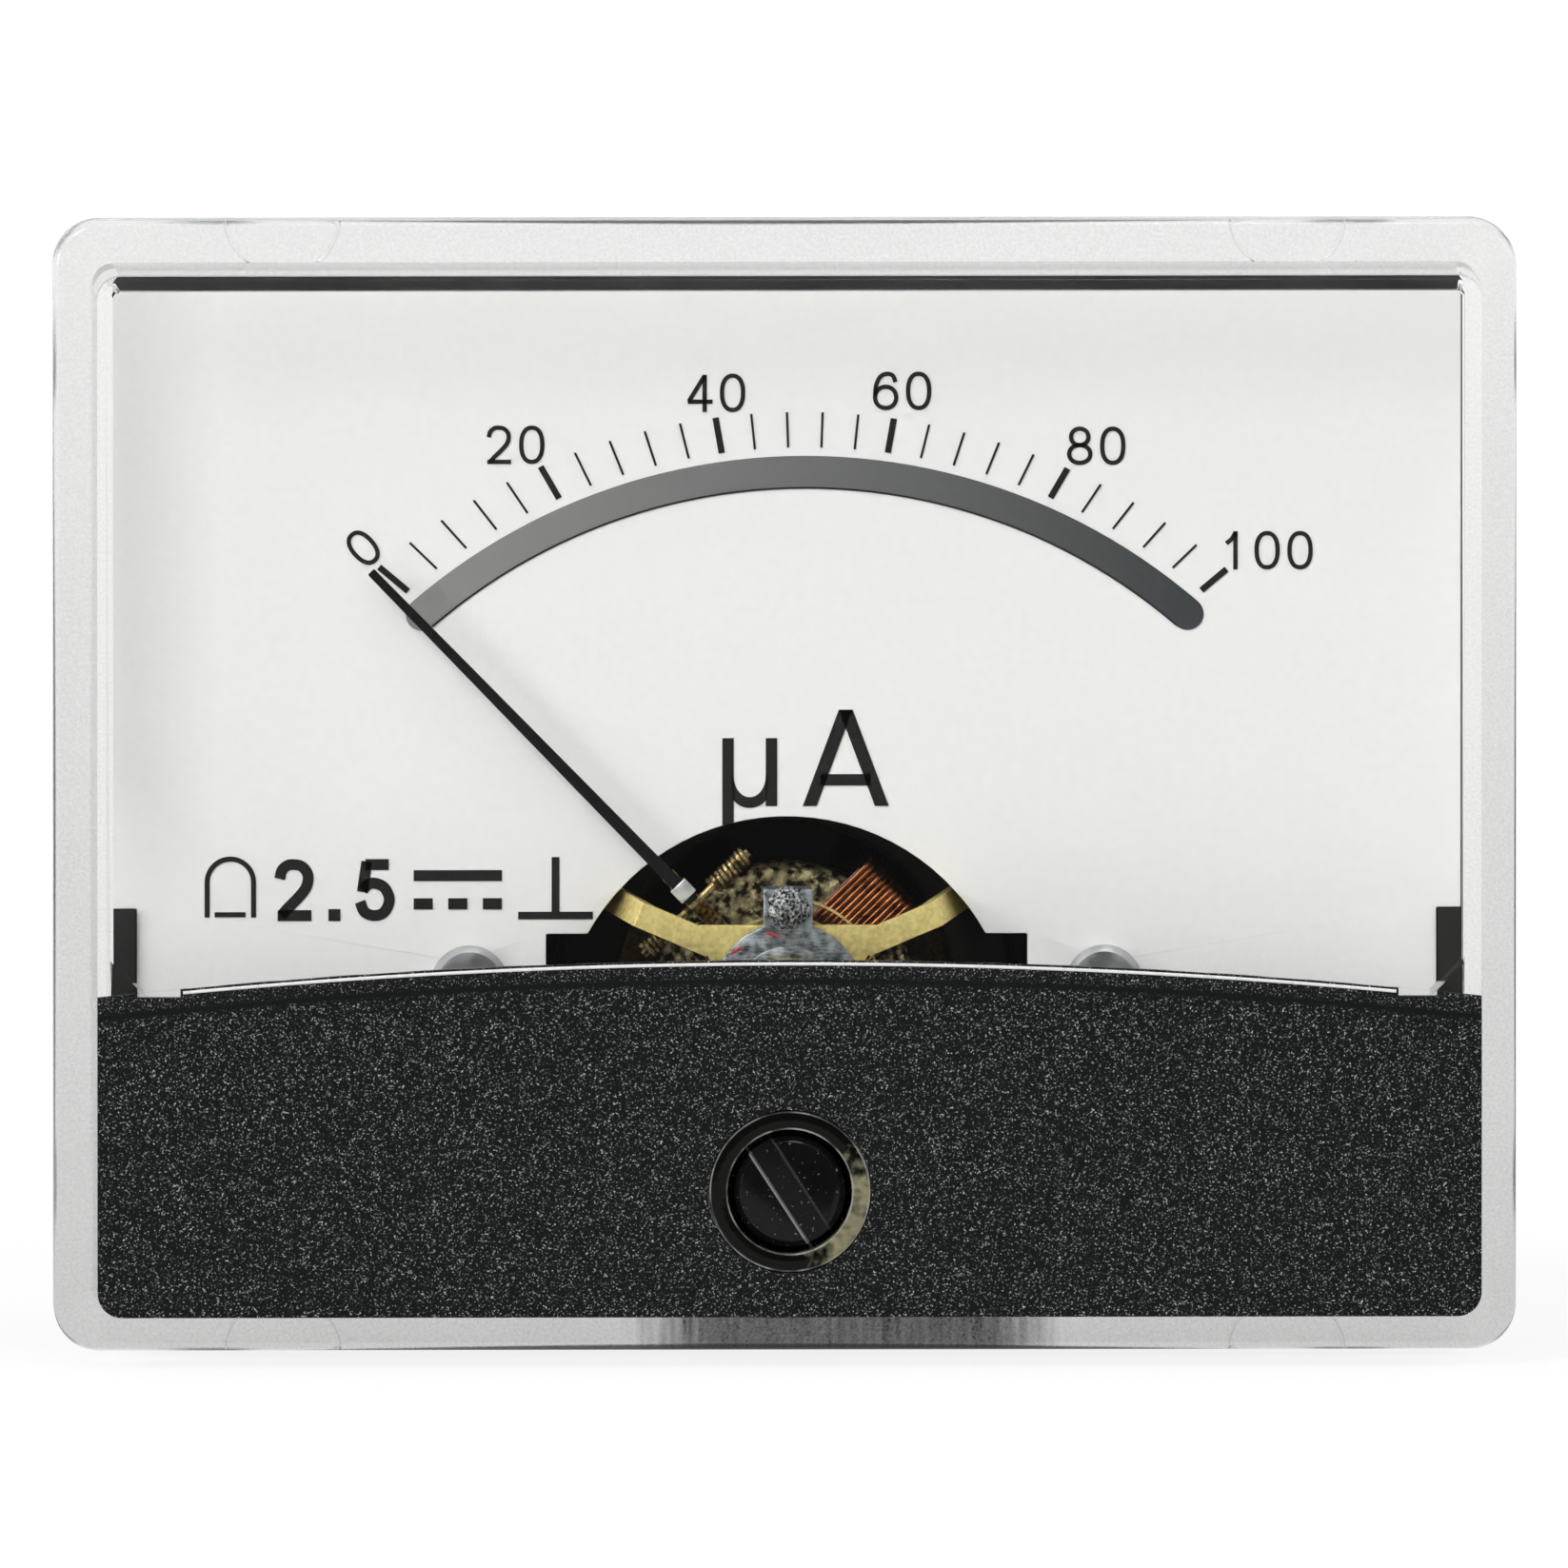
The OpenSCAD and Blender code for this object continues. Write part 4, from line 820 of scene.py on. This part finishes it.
# Zero lever.
# Tinned sheet-steel lever between two washers on the front bridge. The hairspring's end is
# soldered to its tab, daubs of red varnish lock it, and its fork takes the pin of the zero screw.
dressed("zero_lever", 0.00006, tinned)
solder = Finish("solder", metallic=0.9)
crystals = solder.grain(7500, 6)
dull = solder.grain(2600, 5)
solder.set(
    base_color=solder.tint(solder.ramp(crystals, 0.42, 0.62), (0.015, 0.017, 0.018, 1), (0.48, 0.5, 0.5, 1)),
    roughness=solder.ramp(dull, 0.3, 0.7, 0.3, 0.6),
    normal=solder.relief(crystals, 0.00006)
)
blob_low, blob_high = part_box("lever_solder")
blob = bmesh.new()
bmesh.ops.create_icosphere(blob, subdivisions=5, radius=1)
for vert in blob.verts:
    lump = 0.9 + 0.16 * noise.fractal(vert.co * 2.6, 1.0, 2.0, 4)
    reach = (blob_high - blob_low) / 2
    vert.co = Vector((
        (blob_low.x + blob_high.x) / 2 + vert.co.x * reach.x * lump,
        blob_high.y + min(vert.co.y, 0.05) * 2 * reach.y * lump,
        (blob_low.z + blob_high.z) / 2 + vert.co.z * reach.z * lump
    ))
placed("solder_blob", mesh_of("solder_blob", blob, solder), "zero_lever", "tinned", "lever_solder", corner=60)
daub_red = Finish("locking varnish", coat_weight=0.4)
daub_red.mottled(6000, 3, (0.42, 0.012, 0.012, 1), (0.68, 0.05, 0.04, 1), 0.25, 0.5)
lever_front = blob_high.y
daub_t = 0.00003
daubs = bmesh.new()
for x, z, long, wide, turn in (
    (-0.6, 2.66, 0.36, 0.05, -14), (-2.15, 2.0, 0.3, 0.06, 32), (-0.62, 1.95, 0.22, 0.07, 24)
):
    grown = bmesh.ops.create_icosphere(daubs, subdivisions=3, radius=1)["verts"]
    for vert in grown:
        edge = 1 + 0.4 * noise.noise(vert.co * 2 + Vector((x, z, 0)))
        u = vert.co.x * long * edge / 1000
        v = vert.co.z * wide * edge / 1000
        c = math.cos(math.radians(turn))
        s = math.sin(math.radians(turn))
        vert.co = Vector((
            pivot.x + x / 1000 + c * u - s * v,
            lever_front + vert.co.y * daub_t,
            pivot.z + z / 1000 + s * u + c * v
        ))
placed("varnish_daubs", mesh_of("varnish_daubs", daubs, daub_red), "zero_lever", "ruby", corner=60)

# Dial.
# Stamped aluminium sheet with matt white lacquer, held by two screws. The edges that the
# stamp cut are bare and darkened. Shade is painted into the lacquer: a little greyer over the
# upper part, and most of all near the left wall of the cover.
enamel = Finish("white dial lacquer", specular_ior_level=0.2, roughness=0.6)
tooth = enamel.grain(2600, 4)
# Painted shade: the lacquer greys towards the left wall, over the upper part of the dial only.
left_wall_painted_shade = enamel.ramp(enamel.axis("X"), -0.0268, -0.0232, 0, 0.6)
painted_shade_fades_low = enamel.ramp(enamel.axis("Z"), 0.004, -0.002, 0, 0.7)
lacquer_tone_and_painted_shade = tooth * 0.4 + left_wall_painted_shade.math("MAXIMUM", painted_shade_fades_low)
enamel.set(
    base_color=enamel.tint(lacquer_tone_and_painted_shade, (0.7, 0.7, 0.698, 1), (0.9, 0.9, 0.895, 1)),
    normal=enamel.relief(enamel.grain(5000, 3), 0.000004)
)
cut_edge = Finish("cut sheet edge", metallic=0.8)
cut_edge.mottled(5000, 4, (0.03, 0.024, 0.014, 1), (0.2, 0.16, 0.09, 1), 0.4, 0.65)
dressed("dial_plate", 0.00005, enamel, cut_edge, finish_of=lambda face: int(abs(face.normal.y) < 0.5))
dressed("dial_screws", 0.00012, zinc)

# Scale.
# Printed in black ink on the dial: a scale of 25 parts over a band, the numbers,
# the unit, and the usual signs for a moving coil, accuracy class, direct current and upright use.
# The band is grey at its left and black at its right, a painted reflection of the lamps.
ink = Finish("black ink", specular_ior_level=0.25, roughness=0.55)
soak = ink.grain(4000, 3)
ink.set(base_color=ink.tint(soak, (0.008, 0.007, 0.007, 1), (0.014, 0.013, 0.013, 1)))
dial_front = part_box("dial_plate")[0].y
ink_front = dial_front - 0.00003
scale_x = 0.000743
arc_z = -0.007787
band_outer = 0.02466
band_inner = 0.02333
band_end = math.radians(40.8)


def arc(x, z, r, start, end, steps=48):
    """Points on an arc, with its angles counted from straight up towards the right."""
    turns = [start + (end - start) * step / steps for step in range(steps + 1)]
    return [(x + r * math.sin(turn), z + r * math.cos(turn)) for turn in turns]


band_r = (band_outer + band_inner) / 2
cap_r = (band_outer - band_inner) / 2
right_end = arc(scale_x, arc_z, band_r, band_end, band_end, 1)[0]
left_end = arc(scale_x, arc_z, band_r, -band_end, -band_end, 1)[0]
band = bmesh.new()
slab(band, (
    arc(scale_x, arc_z, band_outer, -band_end, band_end)
    + arc(*right_end, cap_r, band_end, band_end + math.pi, 12)[1:-1]
    + arc(scale_x, arc_z, band_inner, band_end, -band_end)
    + arc(*left_end, cap_r, math.pi - band_end, 2 * math.pi - band_end, 12)[1:-1]
), ink_front, dial_front)
shaded = Finish("shaded ink", specular_ior_level=0.3, roughness=0.5)
# Painted reflection: the band's ink is grey at the left and darkens to black at the right.
painted_reflection_across = shaded.ramp(shaded.axis("X"), -0.016, 0.0175)
shading = shaded.grain(3000, 3) * 0.08 + painted_reflection_across
shaded.set(base_color=shaded.tint(shading, (0.275, 0.275, 0.27, 1), (0.042, 0.048, 0.05, 1)))
placed("scale_band", mesh_of("scale_band", band, shaded), "case", "pointer_black")

print_shape = bmesh.new()
line_w = 0.00006
slab(print_shape, (
    arc(scale_x, arc_z, band_inner + line_w, -band_end, band_end)
    + arc(scale_x, arc_z, band_inner - line_w / 3, band_end, -band_end)
), ink_front - 0.00001, dial_front)
ticks = Pattern(
    "scale ticks", count=26, radius=0.02538, centre_z=-0.00816, aim_z=-0.00229, half_span=math.radians(50),
    length=0.00145, shorter=0.0001, fine=0.000095, bold=0.00026
)
share = ticks.index / (ticks["count"] - 1) * 2 - 1
lean = share * ticks["half_span"]
off_centre = ticks["aim_z"] - ticks["centre_z"]
aside = lean.math("SINE") * off_centre
reach = (ticks["radius"] * ticks["radius"] - aside * aside) ** 0.5 - lean.math("COSINE") * off_centre
spot_x = lean.math("SINE") * reach + scale_x
spot_z = lean.math("COSINE") * reach + ticks["aim_z"]
bar = ticks.add("GeometryNodeMeshCube", {}, {"Size": (1, dial_front - ink_front, 1)})
bar = ticks.add("GeometryNodeTransform", {}, {"Geometry": bar, "Translation": (0, 0, 0.5)})
major = (ticks.index % 5) < 0.5
size = ticks.add("ShaderNodeCombineXYZ", {}, {
    "X": major * (ticks["bold"] - ticks["fine"]) + ticks["fine"],
    "Y": 1.0,
    "Z": ticks["length"] - share * ticks["shorter"]
})
aimed = ticks.add("ShaderNodeCombineXYZ", {}, {"X": 0.0, "Y": lean, "Z": 0.0})
spots = ticks.points(ticks["count"], spot_x, (dial_front + ink_front) / 2, spot_z)
marks = ticks.copies(spots, bar, Scale=size, Rotation=aimed)
print_shape.from_mesh(ticks.mesh("scale_ticks", marks, ink))


def printed(outline):
    """A flat patch of ink from an outline of (x, z) points in millimetres."""
    slab(print_shape, [(x / 1000, z / 1000) for x, z in outline], ink_front, dial_front)


def block(left, right, low, high):
    """A printed bar between its sides, in millimetres."""
    printed([(left, low), (right, low), (right, high), (left, high)])


def curved(*points, steps=6):
    """A smooth line through some points."""
    spots = [Vector(point) for point in points]
    spots = [2 * spots[0] - spots[1]] + spots + [2 * spots[-1] - spots[-2]]
    line = []
    for a, b, c, d in zip(spots, spots[1:], spots[2:], spots[3:]):
        for step in range(steps):
            t = step / steps
            line.append(b + (c - a) * t / 2 + (2 * a - 5 * b + 4 * c - d) * t * t / 2
                        + (3 * (b - c) + d - a) * t * t * t / 2)
    return line + [spots[-2]]


def oval(x, z, half_w, half_h, fullness=2.3, steps=40):
    """A closed round line, fuller at its corners than an ellipse."""
    line = []
    for step in range(steps + 1):
        turn = 2 * math.pi * (step % steps) / steps
        u = math.copysign(abs(math.cos(turn)) ** (2 / fullness), math.cos(turn))
        v = math.copysign(abs(math.sin(turn)) ** (2 / fullness), math.sin(turn))
        line.append(Vector((x + half_w * u, z + half_h * v)))
    return line


def bar_line(*points):
    """A straight line between some points."""
    return [Vector(point) for point in points]


# Each figure's strokes lie in a square one unit wide and high, through the middle of the ink.
figures = {
    "0": [oval(0.5, 0.5, 0.5, 0.5)],
    "1": [bar_line((0.56, -0.06), (0.56, 1.06)), curved((0.12, 0.7), (0.38, 0.83), (0.56, 1.02))],
    "2": [curved((0.02, 0.72), (0.1, 0.89), (0.29, 0.985), (0.5, 1), (0.74, 0.97), (0.93, 0.85), (0.97, 0.7),
                 (0.88, 0.53), (0.62, 0.34), (0.3, 0.15), (0.08, 0)), bar_line((-0.05, 0), (1.08, 0))],
    "4": [bar_line((0.74, -0.06), (0.74, 1.03)), bar_line((0.74, 1), (-0.01, 0.25)),
          bar_line((-0.06, 0.24), (1.12, 0.24))],
    "5": [bar_line((0.2, 1), (0.98, 1)), bar_line((0.25, 1.06), (0.1, 0.46)),
          curved((0.1, 0.5), (0.27, 0.6), (0.5, 0.635), (0.83, 0.55), (1, 0.31), (0.83, 0.07), (0.5, 0),
                 (0.17, 0.07), (0.02, 0.27))],
    "6": [oval(0.5, 0.31, 0.5, 0.31, 2.1),
          curved((0.97, 0.76), (0.83, 0.95), (0.54, 1), (0.24, 0.91), (0.05, 0.66), (0, 0.35))],
    "8": [oval(0.5, 0.76, 0.41, 0.24, 2.1), oval(0.5, 0.26, 0.5, 0.26, 2.1)]
}


def number(body, x, z, height, advance, ink_w, turn):
    """Figures side by side about a place on the dial, in millimetres."""
    width = 0.66 * height
    c = math.cos(math.radians(turn))
    s = math.sin(math.radians(turn))
    for place, letter in enumerate(body):
        left = (place - (len(body) - 1) / 2) * advance - width / 2
        for line in figures[letter]:
            closed = line[0] == line[-1]
            spots = []
            for spot in line:
                u = left + ink_w / 2 + spot.x * (width - ink_w)
                v = spot.y * (height - ink_w) + ink_w / 2 - height / 2
                spots.append(Vector((x + c * u - s * v, z + s * u + c * v)) / 1000)
            if closed:
                spots.pop()
            rings = []
            for k, spot in enumerate(spots):
                before = spots[k - 1] if closed or k else spot
                after = spots[(k + 1) % len(spots)] if closed or k < len(spots) - 1 else spot
                aside = (after - before).orthogonal().normalized() * ink_w / 2000
                rings.append([
                    (edge.x, y, edge.y) for edge, y in (
                        (spot - aside, ink_front), (spot + aside, ink_front),
                        (spot + aside, dial_front), (spot - aside, dial_front)
                    )
                ])
            swept(print_shape, rings, closed)


figure_h = 1.58
figure_step = 1.35
figure_ink = 0.18
for body, x, z, turn in (
    ("0", -17.34, 13.13, 42), ("20", -11.11, 17.34, 0), ("40", -2.89, 19.46, 0), ("60", 4.73, 19.53, 0),
    ("80", 12.68, 17.27, 0), ("100", 19.68, 12.98, 0)
):
    number(body, x, z, figure_h, figure_step, figure_ink, turn)
for body, x in (("2", -20.18), ("5", -16.89)):
    number(body, x, z=-0.91, height=2.54, advance=0, ink_w=0.45, turn=0)
block(-18.77, -18.28, -2.18, -1.69)

letter_foot = 2.511
letter_top = 6.461
letter_mid = 2.4215
for side in (-1, 1):
    printed([(letter_mid + side * u, v) for u, v in (
        (1.7625, letter_foot), (1.19, letter_foot), (-0.283, letter_top), (0.283, letter_top)
    )])
block(1.4, 3.44, 3.351, 3.819)
unit_left = -2.636
unit_right = -0.388
unit_top = 5.301
unit_w = 0.468
unit_mid = (unit_left + unit_right) / 2
stem_right = unit_left + unit_w
printed([(unit_left, 1.72), (stem_right, 1.84), (stem_right, unit_top), (unit_left, unit_top)])
block(unit_right - unit_w, unit_right, letter_foot, unit_top)
bowl_top = 3.749
inside = [(unit_mid + 0.656 * math.sin(turn), bowl_top - 0.873 * math.cos(turn))
          for turn in (math.pi / 2 * (step / 10 - 1) for step in range(21))]
outside = arc(unit_mid, 3.294, 0.859, math.pi - 0.93, math.pi + 0.93, 20)
printed(inside + [(unit_mid + 0.75, bowl_top)] + outside + [(unit_mid - 0.75, bowl_top)])

magnet_left = -23.844
magnet_right = -21.733
magnet_foot = -2.033
magnet_top = 0.472
stroke = 0.21
magnet_mid = (magnet_left + magnet_right) / 2
magnet_r = (magnet_right - magnet_left) / 2
outside = arc(magnet_mid, magnet_top - magnet_r, magnet_r, -math.pi / 2, math.pi / 2, 24)
inside = arc(magnet_mid, magnet_top - magnet_r, magnet_r - stroke, math.pi / 2, -math.pi / 2, 24)
right_foot = [(magnet_right, magnet_foot), (magnet_right - stroke, magnet_foot)]
left_foot = [(magnet_left + stroke, magnet_foot)]
printed([(magnet_left, magnet_foot)] + outside + right_foot + inside + left_foot)
block(magnet_left + 0.41, magnet_right - 0.43, magnet_foot + 0.01, magnet_foot + 0.22)
block(-15.28, -11.66, -0.546, -0.099)
for left in (-15.28, -13.865, -12.45):
    block(left, left + 0.785, -1.708, -1.25)
block(-9.63, -9.31, -1.82, 0.433)
block(-11.0, -7.935, -2.123, -1.81)
placed("dial_print", mesh_of("dial_print", print_shape, ink), "case", "pointer_black", corner=30)

# Clear cover.
# Injection-moulded acrylic: a flange with a rounded edge, dulled by its mould, a raised window
# with polished faces and leaning walls, and a ring round the zero screw. Painted shade darkens the
# flange towards the bottom and in a patch where the black barrel shows through it. The ring is
# painted opaque dark for the dark inside seen through it, with painted glints and bright rims.
polish = (0.965, 0.965, 0.957, 1)
acrylic_ior = 1.49
clear = Finish(
    "clear acrylic", transmission_weight=1.0, ior=acrylic_ior, specular_ior_level=0.2, base_color=polish
)
haze = clear.grain(400, 3)
clear.set(roughness=clear.ramp(haze, 0.35, 0.7, 0.0, 0.02))
clear.lets_light_through((0.955, 0.955, 0.95, 1))
walls = Finish("acrylic walls", transmission_weight=1.0, ior=acrylic_ior, base_color=polish)
drag = walls.grain(1.0, 3, walls.stretched(300, 4000, 300))
walls.set(roughness=walls.ramp(drag, 0.35, 0.7, 0.0, 0.04))
walls.lets_light_through((0.82, 0.82, 0.815, 1))
dulled = Finish("dulled acrylic", transmission_weight=1.0, ior=acrylic_ior)
cloud = dulled.grain(260, 4)
pin_x = 0.0206
pin_z = 0.0234
pin_r = 0.0024
flange_mid_z = 0.0032
from_pin_x = abs(dulled.axis("X")) - pin_x
from_pin_z = abs(dulled.axis("Z") - flange_mid_z) - pin_z
from_pin = (from_pin_x * from_pin_x + from_pin_z * from_pin_z) ** 0.5
pin_mark = dulled.ramp(abs(from_pin - pin_r), 0.00002, 0.00006, 1, 0) * (from_pin_z > -0.0021)
fine = dulled.grain(9000, 3)
# Painted shade: the flange darkens towards the bottom. A dark, streaked patch in the middle of its lower edge
# stands in for the black barrel seen through it.
painted_shade_downwards = dulled.ramp(dulled.axis("Z"), -0.019, 0.026, 0.6, 0.85)
brushed = dulled.grain(1.0, 3, dulled.stretched(3500, 300, 300))
shade_x = 0.0026
from_shade = abs(dulled.axis("X") - shade_x) + (brushed - 0.5) * 0.003
barrel_shade = dulled.ramp(from_shade, 0.006, 0.009, dulled.ramp(brushed, 0.3, 0.7, 0.06, 0.3), 1.0)
barrel_painted_shade = barrel_shade.math("MAXIMUM", dulled.ramp(dulled.axis("Z"), -0.0172, -0.0166))
clarity_and_painted_shade = painted_shade_downwards * barrel_painted_shade + (cloud - 0.5) * 0.08 + (fine - 0.5) * 0.4 - pin_mark * 0.14
dulled.set(
    base_color=dulled.tint(clarity_and_painted_shade, (0, 0, 0, 1), (1, 1, 0.995, 1)),
    roughness=dulled.ramp(cloud, 0.3, 0.7, 0.16, 0.26),
    normal=dulled.relief(pin_mark + fine * 0.5, 0.000018)
)
dulled.lets_light_through((0.85, 0.86, 0.855, 1))
flange_front = -0.00285

# The ring round the zero screw is painted opaque dark for the dark inside seen through the clear acrylic,
# with painted glints towards its lower right and painted highlights along its two rims.
painted_dark_ring = Finish("zero screw ring", specular_ior_level=0.1)
screw_z = joint_at["zero_screw_turn"].z
ring_r = 0.0034
ring_mid = 0.00292
ring_half = 0.00034
to_right = painted_dark_ring.axis("X")
to_top = painted_dark_ring.axis("Z") - screw_z
from_screw = (to_right * to_right + to_top * to_top) ** 0.5
to_lower_right = (to_right * 0.9 - to_top * 0.44) / from_screw
streak = painted_dark_ring.grain(1500, 4)
glint = painted_dark_ring.ramp(to_lower_right + (streak - 0.5) * 1.6, 0.55, 1.0)
painted_rim_highlight = painted_dark_ring.ramp(abs(abs(from_screw - ring_mid) - ring_half), 0.00001, 0.00005, 1, 0)
painted_rim_highlight = painted_rim_highlight * painted_dark_ring.ramp(painted_dark_ring.grain(900, 3), 0.4, 0.62, 0.1, 0.7)
glinting = painted_dark_ring.tint(glint * streak, (0.004, 0.004, 0.003, 1), (0.42, 0.39, 0.24, 1))
painted_dark_ring.set(
    base_color=painted_dark_ring.tint(painted_rim_highlight, glinting, (0.5, 0.5, 0.48, 1)),
    roughness=painted_dark_ring.ramp(streak, 0.3, 0.7, 0.05, 0.16)
)


def cover_finish(face):
    """Clear (0) on the window, walls (1) at its sides, dulled (2) on the flange and painted dark (3) on the
    ring.
    """
    middle = face.calc_center_median()
    if middle.y > flange_front:
        return 2
    if math.hypot(middle.x, middle.z - screw_z) < ring_r:
        return 3
    return int(abs(face.normal.y) < 0.5)


dressed("front_cover", 0.00012, clear, walls, dulled, painted_dark_ring, finish_of=cover_finish)

# Mask.
# Black plate bonded into the cover below the window, spark-eroded to a coarse grain, with a bevel
# along its arched top edge. The grain's points that catch the light are painted as bright specks, a
# dark line at the foot of the bevel is a painted shadow, and a near-white bead along the edge is a
# painted highlight.
grained = Finish("grained black", specular_ior_level=0.1)
mask_low, mask_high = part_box("lower_mask")
arch_sag = 0.0015
bevel_w = 0.00085
arch_share = grained.axis("X") / mask_high.x
below_arch = mask_high.z - arch_share * arch_share * arch_sag - grained.axis("Z")
# Painted shadow: a dark line without specks along the foot of the bevel below the arch.
painted_groove_shadow = grained.ramp(abs(below_arch - bevel_w), 0.00006, 0.00026, 1, 0)
sparks = grained.grain(14000, 3)
broad = grained.grain(700, 3)
# Painted glints: bright specks where the grain would catch the light.
points_of_light = grained.ramp(sparks, 0.56, 0.72) ** 2
sparkle = points_of_light * grained.ramp(broad, 0.3, 0.7, 0.85, 1.05) * (1 - painted_groove_shadow)
grained.set(
    base_color=grained.tint(sparkle, (0.005, 0.0057, 0.0057, 1), (0.6, 0.65, 0.64, 1)),
    roughness=grained.ramp(sparks, 0.3, 0.7, 0.7, 0.5),
    normal=grained.relief(sparks, 0.00003)
)
dressed("lower_mask", 0.00008, grained)
# Painted highlight: a near-white wire along the arch stands for the light caught by the clear edge of the
# cover.
bead_r = 0.00007
bead_in = 0.00014
bead_y = mask_low.y + 0.00025
notch_from = 0.0248
bead = Pattern(
    "arch bead", radius=bead_r, reach=notch_from, half=mask_high.x, sag=arch_sag, top=mask_high.z - bead_in
)
straight = bead.add("GeometryNodeCurvePrimitiveLine", {}, {
    "Start": bead.add("ShaderNodeCombineXYZ", {}, {"X": bead["reach"] * -1}),
    "End": bead.add("ShaderNodeCombineXYZ", {}, {"X": bead["reach"]})
})
straight = bead.add("GeometryNodeResampleCurve", {}, {"Curve": straight, "Count": 97})
run_x = bead.add("ShaderNodeSeparateXYZ", {}, {0: bead.add("GeometryNodeInputPosition")}, "X")
share = run_x / bead["half"]
arched = bead.add("GeometryNodeSetPosition", {}, {
    "Geometry": straight,
    "Position": bead.add("ShaderNodeCombineXYZ", {}, {
        "X": run_x, "Y": bead_y, "Z": bead["top"] - share * share * bead["sag"]
    })
})
painted_edge_highlight = Finish("cut acrylic edge", transmission_weight=0.1, ior=acrylic_ior)
painted_edge_highlight.mottled(1200, 3, (0.86, 0.86, 0.85, 1), (0.97, 0.97, 0.96, 1), 0.2, 0.4)
bead_mesh = bead.mesh("arch_highlight_bead", bead.wire(arched, bead["radius"], 8), painted_edge_highlight)
placed("arch_highlight_bead", bead_mesh, "case", "clear_acrylic", corner=60)

# Zero screw.
# Polished black moulded screw in a hole of the mask, turned with a screwdriver in its wide slot.
# Bright lines along the slot's edges, stronger on one side, are painted highlights.
polished = Finish("polished black", specular_ior_level=0.15)
rub = polished.grain(1200, 4)
slot_turn = math.radians(-57)
slot_half = 0.000525
from_slot = (polished.axis("Z") - screw_z) * math.cos(slot_turn) - polished.axis("X") * math.sin(slot_turn)
# Painted highlights: bright lines along the slot's edges, stronger on one side.
highlight_strength_across = polished.ramp(from_slot, -0.0005, 0.0005, 0.3, 0.03)
painted_slot_highlight = polished.ramp(abs(abs(from_slot) - slot_half), 0.00003, 0.00008, highlight_strength_across, 0)
specks = polished.ramp(polished.grain(6500, 2), 0.68, 0.76, 0, 0.25)
polished.set(
    base_color=polished.tint(rub * 0.004 + painted_slot_highlight + specks, (0.003, 0.003, 0.003, 1), (0.9, 0.9, 0.87, 1)),
    roughness=polished.ramp(rub, 0.3, 0.7, 0.08, 0.16)
)
dressed("zero_screw", 0.0001, polished)
